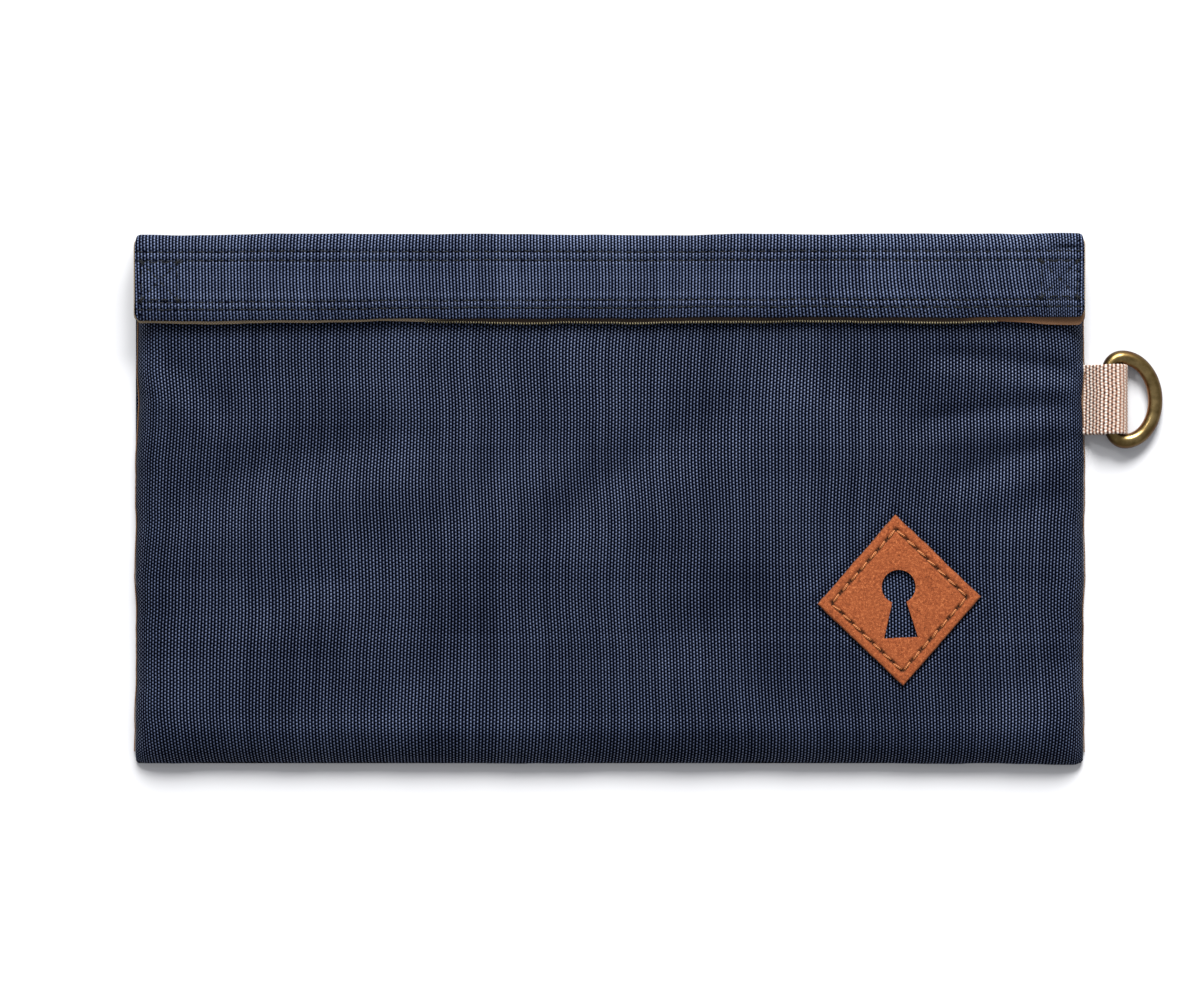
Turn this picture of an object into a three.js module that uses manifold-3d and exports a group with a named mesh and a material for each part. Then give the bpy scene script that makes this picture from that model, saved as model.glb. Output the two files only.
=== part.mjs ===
// A flat cash deposit bag: two sewn fabric panels with a lining, a fold-over flap that closes with
// hook and loop tape, a webbing tab with a D-ring in the right side seam, and a leather patch.
// Millimetres. The bag lies on its back: +Z is up out of the front panel, +Y runs from the bottom
// seam to the mouth, +X runs to the tab. The origin is the middle of the back panel's outer face.

import * as THREE from "three";
import { mergeVertices } from "three/addons/utils/BufferGeometryUtils.js";
import Module from "manifold-3d";

// ---- Driving dimensions ----
const WIDTH = 280; // side seam to side seam
const HEIGHT = 156; // bottom seam to top fold
const FLAP_DEPTH = 25; // top fold to the flap's free edge
const POCKET = 6; // clear height between the linings at the mouth
const CROWN = 1.6; // extra rise of the front panel's middle
const CLOTH = 0.8; // outer fabric with its coating
const LINER = 0.4; // lining cloth
const TAPE = 1.0; // hook tape or loop tape
const TAPE_WIDTH = 20;
const THREAD = 0.4;
const GAP = 0.2; // between two layers that lie on each other
const SIDE_ROLL = 7; // how far the side edges roll over
const BOTTOM_ROLL = 9;
const CORNER = 3; // corner radius in plan
const FOLD_GAP = 0.3; // cloth ends stop this far from a fold line
const HEM_DEPTH = 12; // the turned-in hem round the mouth
const BINDING = 0.6; // tape that binds the raw edges of the seams inside
const BINDING_WIDTH = 6;
const BINDING_INSET = 2.5;
const FACING_PEEK = 0.8; // how far the flap's facing shows past its free edge

// ---- The layers, from the back face up ----
const halfW = WIDTH / 2;
const bottomY = -HEIGHT / 2;
const topY = HEIGHT / 2;
const foldY = topY - CLOTH; // the inner face of the fold, where both fold lines run
const backLiningZ = CLOTH + GAP;
const pocketFloorZ = backLiningZ + LINER;
const hemZ = pocketFloorZ + POCKET;
const frontLiningZ = hemZ + LINER + GAP;
const frontPanelZ = frontLiningZ + LINER + GAP;
const mouthTopZ = frontPanelZ + CLOTH;
const loopTapeZ = mouthTopZ + GAP;
const hookTapeZ = loopTapeZ + TAPE + GAP;
const facingZ = hookTapeZ + TAPE + GAP;
const flapZ = facingZ + LINER + GAP;
const flapTopZ = flapZ + CLOTH;

const lipY = foldY - 1.1; // the front panel's hemmed top edge
const hemHalfX = halfW - SIDE_ROLL - 1;
const liningInset = CLOTH + GAP + LINER + 2 * GAP;
const bindingZ = pocketFloorZ + GAP;

// ---- The flap, its stitch rows and the closure ----
const flapEdgeY = topY - FLAP_DEPTH;
const tapeTopY = topY - 2.5;
const tapeLowY = tapeTopY - TAPE_WIDTH;
const hookHalfX = halfW - 3;
const loopHalfX = halfW - SIDE_ROLL;
const flapRows = {
  upper_outer: topY - 5.4,
  upper_inner: topY - 8,
  lower_inner: flapEdgeY + 5.2,
  lower_outer: flapEdgeY + 3,
};
const loopRows = { upper: tapeTopY - 1.6, lower: tapeLowY + 1.2 };
const BOX_OUTER_X = halfW - 2.5; // the crossed boxes of stitching at the flap's ends
const BOX_INNER_X = halfW - 13;

// ---- The tab and its D-ring ----
const WEBBING_WIDTH = 19;
const WEBBING = 1.2; // thickness of one layer
const WIRE = 2.15; // wire radius
const RING_HALF = 12.35; // centre line of the ring, half its height
const RING_DEPTH = 13.5; // centre line, bar to the middle of the bow
const RING_CORNER = 3.9;
const RING_LEAN = THREE.MathUtils.degToRad(3);
const BORE = 2.8; // inside radius of the webbing loop round the bar
const tabY = 29.3;
const barZ = BORE + WEBBING + 0.1;
const barX = halfW + 7.9;
const RING_DROP = Math.asin((barZ - WIRE - 0.05) / RING_DEPTH); // the bow rests on the table
const tabStartX = halfW + 1.2;
const loopEndX = halfW + 13 - WEBBING; // inside of the loop's far end
const ANCHOR_DEPTH = 8; // how far the webbing's ends run into the seam

// ---- The patch ----
const PATCH_WIDTH = 48;
const PATCH_HEIGHT = 50.6;
const PATCH_THICK = 1.4;
const PATCH_TURN = THREE.MathUtils.degToRad(2.6);
const PATCH_STITCH_INSET = 2.5;
const PATCH_LIFT = 0.5; // keeps its flat underside clear of the curved panel
const KEYHOLE_RADIUS = 5;
const KEYHOLE_FOOT = 11; // from the patch's middle down to the keyhole's foot
const patchX = 85.2;
const patchY = -29.7;

const wasm = await Module();
wasm.setup();

const NAVY = { color: 0x2a3350, roughness: 0.75, metalness: 0 };
const TAN_LINING = { color: 0x8a6a45, roughness: 0.6, metalness: 0 };
const TAN_TAPE = { color: 0xa98e6a, roughness: 0.85, metalness: 0 };
const NAVY_TAPE = { color: 0x1d2438, roughness: 0.9, metalness: 0 };
const WEBBING_CLOTH = { color: 0xc4ab9e, roughness: 0.8, metalness: 0 };
const ANTIQUE_BRASS = { color: 0x7d6a3c, roughness: 0.3, metalness: 1 };
const LEATHER = { color: 0xad643f, roughness: 0.85, metalness: 0 };
const NAVY_THREAD = { color: 0x1c2130, roughness: 0.7, metalness: 0 };
const TAN_THREAD = { color: 0xc98a5a, roughness: 0.7, metalness: 0 };

const SIDES = Object.entries({ left: -1, right: 1 });

const bag = new THREE.Group();

function add(name, geometry, look, parent = bag) {
  const mesh = new THREE.Mesh(geometry, new THREE.MeshStandardMaterial(look));
  mesh.name = name;
  parent.add(mesh);
  return mesh;
}

// ---- Shapes ----

// A box from one corner to the opposite one.
function slab([x0, x1], [y0, y1], [z0, z1]) {
  const box = new THREE.BoxGeometry(x1 - x0, y1 - y0, z1 - z0);
  return box.translate((x0 + x1) / 2, (y0 + y1) / 2, (z0 + z1) / 2);
}

// A closed shell between an outer and an inner grid of points with the same rows and columns.
function shell(outer, inner) {
  const rows = outer.length;
  const columns = outer[0].length;
  const positions = [...outer, ...inner].flat(2);
  const at = (layer, row, column) => (layer * rows + row) * columns + column;
  const index = [];
  const quad = (a, b, c, d) => index.push(a, b, c, a, c, d);
  for (let r = 0; r < rows - 1; r++)
    for (let c = 0; c < columns - 1; c++) {
      quad(at(0, r, c), at(0, r, c + 1), at(0, r + 1, c + 1), at(0, r + 1, c));
      quad(at(1, r, c), at(1, r + 1, c), at(1, r + 1, c + 1), at(1, r, c + 1));
    }
  for (let c = 0; c < columns - 1; c++) {
    quad(at(0, 0, c), at(1, 0, c), at(1, 0, c + 1), at(0, 0, c + 1));
    quad(at(0, rows - 1, c), at(0, rows - 1, c + 1), at(1, rows - 1, c + 1), at(1, rows - 1, c));
  }
  for (let r = 0; r < rows - 1; r++) {
    quad(at(0, r, 0), at(0, r + 1, 0), at(1, r + 1, 0), at(1, r, 0));
    quad(at(0, r, columns - 1), at(1, r, columns - 1), at(1, r + 1, columns - 1), at(0, r + 1, columns - 1));
  }
  const geometry = new THREE.BufferGeometry();
  geometry.setAttribute("position", new THREE.Float32BufferAttribute(positions, 3));
  return geometry.setIndex(index);
}

// A round wire along a closed flat loop of points in the XY plane.
function wireLoop(centre, radius, sides) {
  const positions = [];
  const index = [];
  const count = centre.length;
  centre.forEach((point, i) => {
    const next = centre[(i + 1) % count];
    const last = centre[(i + count - 1) % count];
    const along = new THREE.Vector2().subVectors(next, last).normalize();
    for (let s = 0; s < sides; s++) {
      const angle = (2 * Math.PI * s) / sides;
      const out = radius * Math.cos(angle);
      positions.push(point.x + out * along.y, point.y - out * along.x, radius * Math.sin(angle));
      const a = i * sides + s;
      const b = i * sides + ((s + 1) % sides);
      const c = ((i + 1) % count) * sides + s;
      const d = ((i + 1) % count) * sides + ((s + 1) % sides);
      index.push(a, c, b, b, c, d);
    }
  });
  const geometry = new THREE.BufferGeometry();
  geometry.setAttribute("position", new THREE.Float32BufferAttribute(positions, 3));
  return geometry.setIndex(index);
}

// Stitching round a four-cornered outline about its middle, as one flat thread.
function threadFrame(corners, z) {
  const moved = (reach) =>
    corners.map(([x, y]) => {
      const out = new THREE.Vector2(x, y);
      return out.setLength(out.length() + reach);
    });
  const outline = new THREE.Shape(moved(THREAD / 2));
  outline.holes.push(new THREE.Path(moved(-THREAD)));
  return extruded(outline, z, THREAD);
}

// Stitching round a box with a cross from corner to corner: the thread is what four holes leave.
function crossedBox(halfX, halfY, z) {
  const half = THREAD / 2;
  const diagonal = half * Math.hypot(halfX, halfY);
  const [innerX, innerY] = [halfX - half, halfY - half];
  const [outerX, outerY] = [halfX + half, halfY + half];
  const sideY = (innerX * halfY - diagonal) / halfX;
  const topX = (innerY * halfX - diagonal) / halfY;
  const outline = new THREE.Shape();
  outline.moveTo(-outerX, -outerY).lineTo(outerX, -outerY).lineTo(outerX, outerY).lineTo(-outerX, outerY);
  for (const sign of [-1, 1]) {
    const side = new THREE.Path();
    side.moveTo((sign * diagonal) / halfY, 0).lineTo(sign * innerX, -sideY).lineTo(sign * innerX, sideY);
    const end = new THREE.Path();
    end.moveTo(0, (sign * diagonal) / halfX).lineTo(-topX, sign * innerY).lineTo(topX, sign * innerY);
    outline.holes.push(side, end);
  }
  return extruded(outline, z, half);
}

// ---- Joining and cutting ----

function toSolid(geometry) {
  const bare = geometry.clone();
  bare.deleteAttribute("normal");
  bare.deleteAttribute("uv");
  const merged = mergeVertices(bare, 1e-3);
  return new wasm.Manifold(
    new wasm.Mesh({
      numProp: 3,
      vertProperties: new Float32Array(merged.attributes.position.array),
      triVerts: new Uint32Array(merged.index.array),
    }),
  );
}

function fromSolid(solid) {
  const mesh = solid.getMesh();
  const geometry = new THREE.BufferGeometry();
  geometry.setAttribute("position", new THREE.BufferAttribute(mesh.vertProperties, 3));
  return geometry.setIndex(new THREE.BufferAttribute(mesh.triVerts, 1));
}

const cut = (geometry, tool) => fromSolid(toSolid(geometry).subtract(toSolid(tool)));

// ---- The front of the bag ----

// Distances from an edge that give a rounded roll, then even steps to the far end.
function stations(length, roll, steps, bothEnds) {
  const rolled = [0, 0.25, 0.5, 0.75, 1].map((share) => roll * (1 - Math.cos((share * Math.PI) / 2)));
  const inner = bothEnds ? length - 2 * roll : length - roll;
  const even = Array.from({ length: steps }, (_, i) => roll + (inner * (i + 1)) / steps);
  if (!bothEnds) return [...rolled, ...even];
  return [...rolled, ...even.slice(0, -1), ...rolled.map((d) => length - d).reverse()];
}

const rollLift = (distance, roll) => {
  const share = 1 - Math.min(distance, roll) / roll;
  return Math.sqrt(Math.max(0, 1 - share * share));
};

// Height of the front panel's outer face away from its rolled edges.
function frontHeight(x, y) {
  const swell = y < flapEdgeY ? Math.sin((Math.PI * (flapEdgeY - y)) / (flapEdgeY - bottomY)) : 0;
  return mouthTopZ + CROWN * swell * (1 - (x / halfW) ** 2);
}

// The front panel's outer face moved inwards by `inset`, as rows of points.
function frontFace(inset) {
  const sideRoll = SIDE_ROLL - inset;
  const bottomRoll = BOTTOM_ROLL - inset;
  const halfX = halfW - inset;
  const lowY = bottomY + inset;
  return stations(lipY - lowY, bottomRoll, 12, false).map((up) => {
    const y = lowY + up;
    const cornerShare = 1 - Math.min(up, CORNER) / CORNER;
    const edgeX = halfX - CORNER * (1 - Math.sqrt(1 - cornerShare * cornerShare));
    return stations(2 * halfX, sideRoll, 14, true).map((along) => {
      const x = ((along - halfX) * edgeX) / halfX;
      const roof = frontHeight(x, y) - inset;
      const lift = rollLift(Math.min(along, 2 * halfX - along), sideRoll) * rollLift(up, bottomRoll);
      return [x, y, backLiningZ + (roof - backLiningZ) * lift];
    });
  });
}

// The seam is left open over the webbing's width, where the tab passes out between the panels.
const tabSlit = slab(
  [halfW - 6, halfW + 2],
  [tabY - WEBBING_WIDTH / 2 - GAP, tabY + WEBBING_WIDTH / 2 + GAP],
  [barZ - WEBBING - 2 * GAP, barZ + WEBBING + 2 * GAP],
);

function frontOfBag() {
  const liningOut = CLOTH + GAP;
  const hemRowY = lipY - HEM_DEPTH + 2;
  add("front_panel", cut(shell(frontFace(0), frontFace(CLOTH)), tabSlit), NAVY);
  add("front_lining", cut(shell(frontFace(liningOut), frontFace(liningOut + LINER)), tabSlit), TAN_LINING);
  add("mouth_hem", slab([-hemHalfX, hemHalfX], [lipY - HEM_DEPTH, lipY], [hemZ, hemZ + LINER]), TAN_LINING);
  const hemRow = slab([-hemHalfX, hemHalfX], [hemRowY, hemRowY + THREAD], [hemZ - THREAD / 2, hemZ]);
  add("hem_stitching", hemRow, NAVY_THREAD);
}

// ---- The back of the bag ----

function roundedSheet(halfX, y0, y1, corner) {
  const sheet = new THREE.Shape();
  sheet.moveTo(halfX, y1);
  sheet.lineTo(-halfX, y1);
  sheet.lineTo(-halfX, y0 + corner);
  sheet.absarc(-halfX + corner, y0 + corner, corner, Math.PI, 1.5 * Math.PI);
  sheet.absarc(halfX - corner, y0 + corner, corner, 1.5 * Math.PI, 2 * Math.PI);
  return sheet;
}

function extruded(shape, z, depth) {
  return new THREE.ExtrudeGeometry(shape, { depth, bevelEnabled: false, curveSegments: 6 }).translate(0, 0, z);
}

function backOfBag() {
  add("back_panel", extruded(roundedSheet(halfW, bottomY, foldY - FOLD_GAP, CORNER), 0, CLOTH), NAVY);
  const lining = roundedSheet(halfW - liningInset, bottomY + liningInset, foldY - 1, CORNER);
  add("back_lining", extruded(lining, backLiningZ, LINER), TAN_LINING);
}

// ---- The seams inside: a binding tape over the raw edges, and the seam's thread on it ----

function seams() {
  const sideX = halfW - BINDING_INSET - BINDING_WIDTH / 2;
  const lowY = bottomY + BINDING_INSET;
  const sideY = [lowY + BINDING_WIDTH + 2 * GAP, lipY - HEM_DEPTH - 2];
  const tapeZ = [bindingZ, bindingZ + BINDING];
  const threadZ = [tapeZ[1], tapeZ[1] + THREAD / 2];
  const around = (middle, width) => [middle - width / 2, middle + width / 2];
  for (const [name, sign] of SIDES) {
    add(name + "_seam_binding", slab(around(sign * sideX, BINDING_WIDTH), sideY, tapeZ), TAN_TAPE);
    const row = slab(around(sign * sideX, THREAD), [sideY[0] + 1, sideY[1] - 1], threadZ);
    add(name + "_seam_stitching", row, NAVY_THREAD);
  }
  const bottomX = halfW - BINDING_INSET - CORNER;
  const bottomTapeY = [lowY, lowY + BINDING_WIDTH];
  add("bottom_seam_binding", slab([-bottomX, bottomX], bottomTapeY, tapeZ), TAN_TAPE);
  const row = slab([1 - bottomX, bottomX - 1], around(lowY + BINDING_WIDTH / 2, THREAD), threadZ);
  add("bottom_seam_stitching", row, NAVY_THREAD);
}

// ---- The closure's lower half, on the front panel ----

function loopTape() {
  const top = loopTapeZ + TAPE;
  add("loop_tape", slab([-loopHalfX, loopHalfX], [tapeLowY, tapeTopY], [loopTapeZ, top]), NAVY_TAPE);
  for (const [name, y] of Object.entries(loopRows)) {
    const row = slab([1.3 - loopHalfX, loopHalfX - 1.3], [y, y + THREAD], [top, top + GAP / 2]);
    add("loop_tape_" + name + "_stitching", row, NAVY_THREAD);
  }
}

// ---- The fold along the top: a strip as high as the bag is thick ----

function topFold() {
  const rise = [CLOTH + FOLD_GAP, flapZ - FOLD_GAP];
  add("fold_panel", slab([-halfW, halfW], [foldY, foldY + CLOTH], rise), NAVY);
  const liningFace = foldY - GAP;
  const liningRise = [backLiningZ + 1, facingZ - 2 * GAP];
  add("fold_lining", slab([2 - halfW, halfW - 2], [liningFace - LINER, liningFace], liningRise), TAN_LINING);
}

// ---- The flap ----

function flap() {
  const backY = foldY - FOLD_GAP;
  add("flap_panel", slab([-halfW - 0.2, halfW + 0.2], [flapEdgeY, backY], [flapZ, flapTopZ]), NAVY);
  const facing = slab([-halfW, halfW], [flapEdgeY - FACING_PEEK, backY], [facingZ, facingZ + LINER]);
  add("flap_facing", facing, TAN_LINING);
  const hooks = slab([-hookHalfX, hookHalfX], [tapeLowY, tapeTopY], [hookTapeZ, hookTapeZ + TAPE]);
  add("hook_tape", hooks, NAVY_TAPE);
  const threadZ = [flapTopZ, flapTopZ + THREAD / 2];
  for (const [name, y] of Object.entries(flapRows))
    add("flap_" + name + "_stitching", slab([1.5 - halfW, halfW - 1.5], [y, y + THREAD], threadZ), NAVY_THREAD);
  const boxLow = flapRows.lower_inner + 2 * THREAD;
  const boxHigh = flapRows.upper_inner - THREAD;
  for (const [name, sign] of SIDES) {
    const box = crossedBox((BOX_OUTER_X - BOX_INNER_X) / 2, (boxHigh - boxLow) / 2, flapTopZ);
    const placed = add(name + "_end_box_stitching", box, NAVY_THREAD);
    placed.position.set((sign * (BOX_OUTER_X + BOX_INNER_X)) / 2, (boxHigh + boxLow) / 2, 0);
  }
}

// ---- The tab: webbing folded round the ring's bar, with both ends sewn into the side seam ----

// The folded webbing's side view: out along the top layer, round the loop, and back.
function loopProfile() {
  const profile = new THREE.Shape();
  const outside = BORE + WEBBING;
  const endX = loopEndX - BORE;
  const bendX = barX - 1;
  const seamTop = WEBBING + GAP / 2;
  profile.moveTo(tabStartX, -seamTop);
  profile.bezierCurveTo(tabStartX + 2.5, -seamTop, bendX - 2.5, -outside, bendX, -outside);
  profile.lineTo(endX, -outside);
  profile.absarc(endX, 0, outside, -Math.PI / 2, Math.PI / 2);
  profile.lineTo(bendX, outside);
  profile.bezierCurveTo(bendX - 2.5, outside, tabStartX + 2.5, seamTop, tabStartX, seamTop);
  profile.lineTo(tabStartX, GAP / 2);
  profile.bezierCurveTo(tabStartX + 2.5, GAP / 2, bendX - 2, BORE, bendX, BORE);
  profile.lineTo(endX, BORE);
  profile.absarc(endX, 0, BORE, Math.PI / 2, -Math.PI / 2, true);
  profile.lineTo(bendX, -BORE);
  profile.bezierCurveTo(bendX - 2, -BORE, tabStartX + 2.5, -GAP / 2, tabStartX, -GAP / 2);
  return profile;
}

function tab() {
  const loop = new THREE.ExtrudeGeometry(loopProfile(), {
    depth: WEBBING_WIDTH,
    bevelEnabled: false,
    curveSegments: 10,
  });
  const placed = add("webbing_loop", loop, WEBBING_CLOTH);
  placed.rotation.x = Math.PI / 2;
  placed.position.set(0, tabY + WEBBING_WIDTH / 2, barZ);

  const anchorX = halfW - ANCHOR_DEPTH;
  const anchorY = [tabY - WEBBING_WIDTH / 2, tabY + WEBBING_WIDTH / 2];
  const anchorTop = barZ + WEBBING + GAP / 2;
  const anchor = slab([anchorX, halfW - GAP / 2], anchorY, [barZ - WEBBING - GAP / 2, anchorTop]);
  add("webbing_anchor", anchor, WEBBING_CLOTH);
  const tack = slab([anchorX + 1, anchorX + 1 + 2 * THREAD], [anchorY[0] + 1, anchorY[1] - 1], [0, THREAD]);
  add("tab_bartack", tack.translate(0, 0, anchorTop), TAN_THREAD);
}

// ---- The D-ring: a straight bar, two tight corners and an elliptical bow ----

function ringCentre() {
  const points = [];
  const barEnd = RING_HALF - RING_CORNER;
  const reach = RING_DEPTH - RING_CORNER;
  const corner = (side, angle) => {
    const across = RING_CORNER * (1 - Math.cos(angle));
    points.push(new THREE.Vector2(across, side * (barEnd + RING_CORNER * Math.sin(angle))));
  };
  for (let i = 0; i <= 4; i++) points.push(new THREE.Vector2(0, barEnd * (i / 2 - 1)));
  for (let i = 1; i <= 5; i++) corner(1, (i * Math.PI) / 10);
  for (let i = 1; i < 20; i++) {
    const angle = (i * Math.PI) / 20;
    points.push(new THREE.Vector2(RING_CORNER + reach * Math.sin(angle), RING_HALF * Math.cos(angle)));
  }
  for (let i = 5; i > 0; i--) corner(-1, (i * Math.PI) / 10);
  return points;
}

function ring() {
  const lean = new THREE.Group();
  lean.position.set(barX, tabY, barZ);
  lean.rotation.z = RING_LEAN;
  bag.add(lean);
  const placed = add("d_ring", wireLoop(ringCentre(), WIRE, 16), ANTIQUE_BRASS, lean);
  placed.rotation.y = RING_DROP;
}

// ---- The patch: a diamond of leather with a keyhole cut through it ----

const diamond = (inset) => {
  const slope = Math.hypot(PATCH_WIDTH, PATCH_HEIGHT);
  const halfX = PATCH_WIDTH / 2 - (inset * slope) / PATCH_HEIGHT;
  const halfY = PATCH_HEIGHT / 2 - (inset * slope) / PATCH_WIDTH;
  return [
    [halfX, 0],
    [0, halfY],
    [-halfX, 0],
    [0, -halfY],
  ];
};

function keyhole() {
  const hole = new THREE.Path();
  const neck = THREE.MathUtils.degToRad(65);
  hole.absarc(0, KEYHOLE_RADIUS - 1, KEYHOLE_RADIUS, -neck, Math.PI + neck);
  hole.lineTo(-KEYHOLE_RADIUS, -KEYHOLE_FOOT);
  hole.lineTo(KEYHOLE_RADIUS, -KEYHOLE_FOOT);
  return hole;
}

function patch() {
  // It is tilted about its middle to follow the panel's slope.
  const lie = new THREE.Group();
  const reach = PATCH_WIDTH / 3;
  const fall = frontHeight(patchX - reach, patchY) - frontHeight(patchX + reach, patchY);
  const rise = frontHeight(patchX, patchY + reach) - frontHeight(patchX, patchY - reach);
  lie.position.set(patchX, patchY, frontHeight(patchX, patchY) + PATCH_LIFT);
  lie.rotation.set(Math.atan2(rise, 2 * reach), Math.atan2(fall, 2 * reach), PATCH_TURN);
  bag.add(lie);
  const outline = new THREE.Shape(diamond(0).map(([x, y]) => new THREE.Vector2(x, y)));
  outline.holes.push(keyhole());
  add("leather_patch", extruded(outline, 0, PATCH_THICK), LEATHER, lie);
  add("patch_stitching", threadFrame(diamond(PATCH_STITCH_INSET), PATCH_THICK + 0.05), TAN_THREAD, lie);
}

backOfBag();
seams();
frontOfBag();
loopTape();
topFold();
flap();
tab();
ring();
patch();

export default bag;
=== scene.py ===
"""A navy woven-nylon cash deposit bag: lined pouch, hook-and-loop flap, tab with a D-ring, suede patch.

Sizes below are millimetres unless a name says otherwise, and every mesh is scaled to metres when it is made.
The bag lies on its back: +Z is up out of the front, +Y runs to the mouth, +X to the tab.
"""

import math

import bmesh
import bpy
import numpy as np
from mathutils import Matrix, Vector, noise


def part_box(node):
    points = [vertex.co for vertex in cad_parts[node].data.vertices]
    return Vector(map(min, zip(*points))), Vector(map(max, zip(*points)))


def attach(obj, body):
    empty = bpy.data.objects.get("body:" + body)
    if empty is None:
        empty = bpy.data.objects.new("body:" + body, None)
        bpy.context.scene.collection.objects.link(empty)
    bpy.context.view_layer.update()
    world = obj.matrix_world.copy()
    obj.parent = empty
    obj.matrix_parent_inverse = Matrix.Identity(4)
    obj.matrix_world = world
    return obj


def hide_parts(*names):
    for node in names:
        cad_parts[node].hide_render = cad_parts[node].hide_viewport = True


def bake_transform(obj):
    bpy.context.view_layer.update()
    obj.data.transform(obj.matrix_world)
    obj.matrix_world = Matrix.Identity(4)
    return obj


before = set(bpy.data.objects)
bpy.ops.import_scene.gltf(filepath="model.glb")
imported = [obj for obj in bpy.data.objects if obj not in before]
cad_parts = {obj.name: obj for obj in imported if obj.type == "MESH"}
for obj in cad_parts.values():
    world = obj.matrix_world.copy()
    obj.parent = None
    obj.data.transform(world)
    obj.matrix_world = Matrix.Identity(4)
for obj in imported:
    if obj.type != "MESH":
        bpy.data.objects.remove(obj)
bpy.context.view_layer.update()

MM = 0.001
SEED = 11


def corners(node):
    """Lowest and highest corner of a CAD node, in millimetres."""
    low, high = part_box(node)
    return np.array(low) / MM, np.array(high) / MM


# ---------------------------------------------------------------- driving sizes, from the frame

back_low, back_high = corners("back_panel")
front_low, front_high = corners("front_panel")
flap_low, flap_high = corners("flap_panel")
hem_low, hem_high = corners("mouth_hem")
loop_low, loop_high = corners("loop_tape")
hook_low, hook_high = corners("hook_tape")
lining_low, lining_high = corners("back_lining")
tab_low, tab_high = corners("webbing_loop")
facing_high = corners("flap_facing")[1]
patch_low = corners("leather_patch")[0]

HALF_WIDTH = back_high[0]
BOTTOM = back_low[1]
TOP = corners("fold_panel")[1][1]
LIP = front_high[1]
SEAM_Z = front_low[2]
MOUTH_Z = loop_low[2] - 0.2
SIDE_ROLL = 8.5  # how far in from each side seam the front reaches its full height
BOTTOM_ROLL = 13.0
SWELL = 3.4  # how much the empty pouch swells in its middle
FLAP_EDGE = flap_low[1]
FLAP_TOP = flap_high[2]
FOLD_MIDDLE = (back_low[2] + FLAP_TOP) / 2
FOLD_CORNER = 3.0  # how tightly the cloth turns over the top edge
WARP_PITCH = 0.957  # from one warp yarn to the next
WEFT_PITCH = 0.515
THREAD = 0.19  # radius of the sewing thread
STITCH = 3.0  # from one stitch to the next
ROW_REACH = 131  # how far the rows of stitching inside the bag run from its middle
FLAP_ROW_NAMES = [
    "flap_" + row + "_stitching" for row in ("upper_outer", "upper_inner", "lower_inner", "lower_outer")
]
FLAP_ROWS = tuple(corners(name)[0][1] + 0.2 for name in FLAP_ROW_NAMES)
ROW_END = 138.0  # where the rows on the flap stop, and the pressed line of painted shade that crosses their ends
END_ROW = 137.9
BOX_OUTER = HALF_WIDTH - 2.5
BOX_INNER = HALF_WIDTH - 13.0
BOX_ROWS = (FLAP_ROWS[2] + 0.8, FLAP_ROWS[1] - 0.4)
TAB_Y = (tab_low[1] + tab_high[1]) / 2
WEBBING_HALF = (tab_high[1] - tab_low[1]) / 2 + 0.2
PATCH_MIDDLE = np.array([85.2, -29.7])
PATCH_HALF = np.array([24.1, 25.3])
PATCH_TURN = math.radians(2.6)


# ---------------------------------------------------------------- small shared helpers

def linked(name, data):
    """A new object in the scene."""
    made = bpy.data.objects.new(name, data)
    bpy.context.scene.collection.objects.link(made)
    return made


def ease(value):
    """A smooth step from 0 to 1."""
    value = np.clip(value, 0, 1)
    return value * value * (3 - 2 * value)


def bell(off, width):
    """1 at zero, falling away to both sides."""
    return np.exp(-((off / width) ** 2))


def fading(off, reach):
    """1 at zero, falling to 0 at the reach, steepest at zero."""
    return np.clip(1 - off / reach, 0, 1) ** 2


def ripple(value, seed, waves=((1.0, 1.0), (2.3, 0.6), (4.1, 0.35))):
    """A smooth wandering line through zero."""
    phase = np.random.default_rng(seed).uniform(0, 2 * math.pi, len(waves))
    return sum(size * np.sin(value * rate + turn) for (rate, size), turn in zip(waves, phase))


def crumple(x, y, scale, seed):
    """Smooth noise over the cloth, about -1 to 1."""
    flat = np.stack([x.ravel() / scale, y.ravel() / scale, np.full(x.size, seed * 7.3)], 1)
    return np.array([noise.noise(Vector(point)) for point in flat]).reshape(x.shape)


def arc_lengths(path):
    """How far along a path each of its points lies."""
    return np.concatenate([[0], np.cumsum(np.hypot(*np.diff(path, axis=0).T))])


def read_path(arc, length, path):
    """The two coordinates of a path at an arc length."""
    return [np.interp(arc, length, path[:, i]) for i in (0, 1)]


# ---------------------------------------------------------------- camera, light and floor

CAMERA_PLACE = (-2.8 * MM, -0.2 * MM, 1.972)
CAMERA_LENS = 200
FLOOR_RADIUS = 6


def add_camera():
    data = bpy.data.cameras.new("overhead")
    data.lens = CAMERA_LENS
    data.sensor_width = 36
    camera = linked("overhead", data)
    camera.location = CAMERA_PLACE
    bpy.context.scene.camera = camera


def add_light(name, kind, energy, place, target, **settings):
    """A light at a place, turned to shine at a target."""
    data = bpy.data.lights.new(name, kind)
    data.energy = energy
    for key, value in settings.items():
        setattr(data, key, value)
    light = linked(name, data)
    light.location = place
    light.rotation_euler = (Vector(target) - Vector(place)).to_track_quat("-Z", "Y").to_euler()


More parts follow.
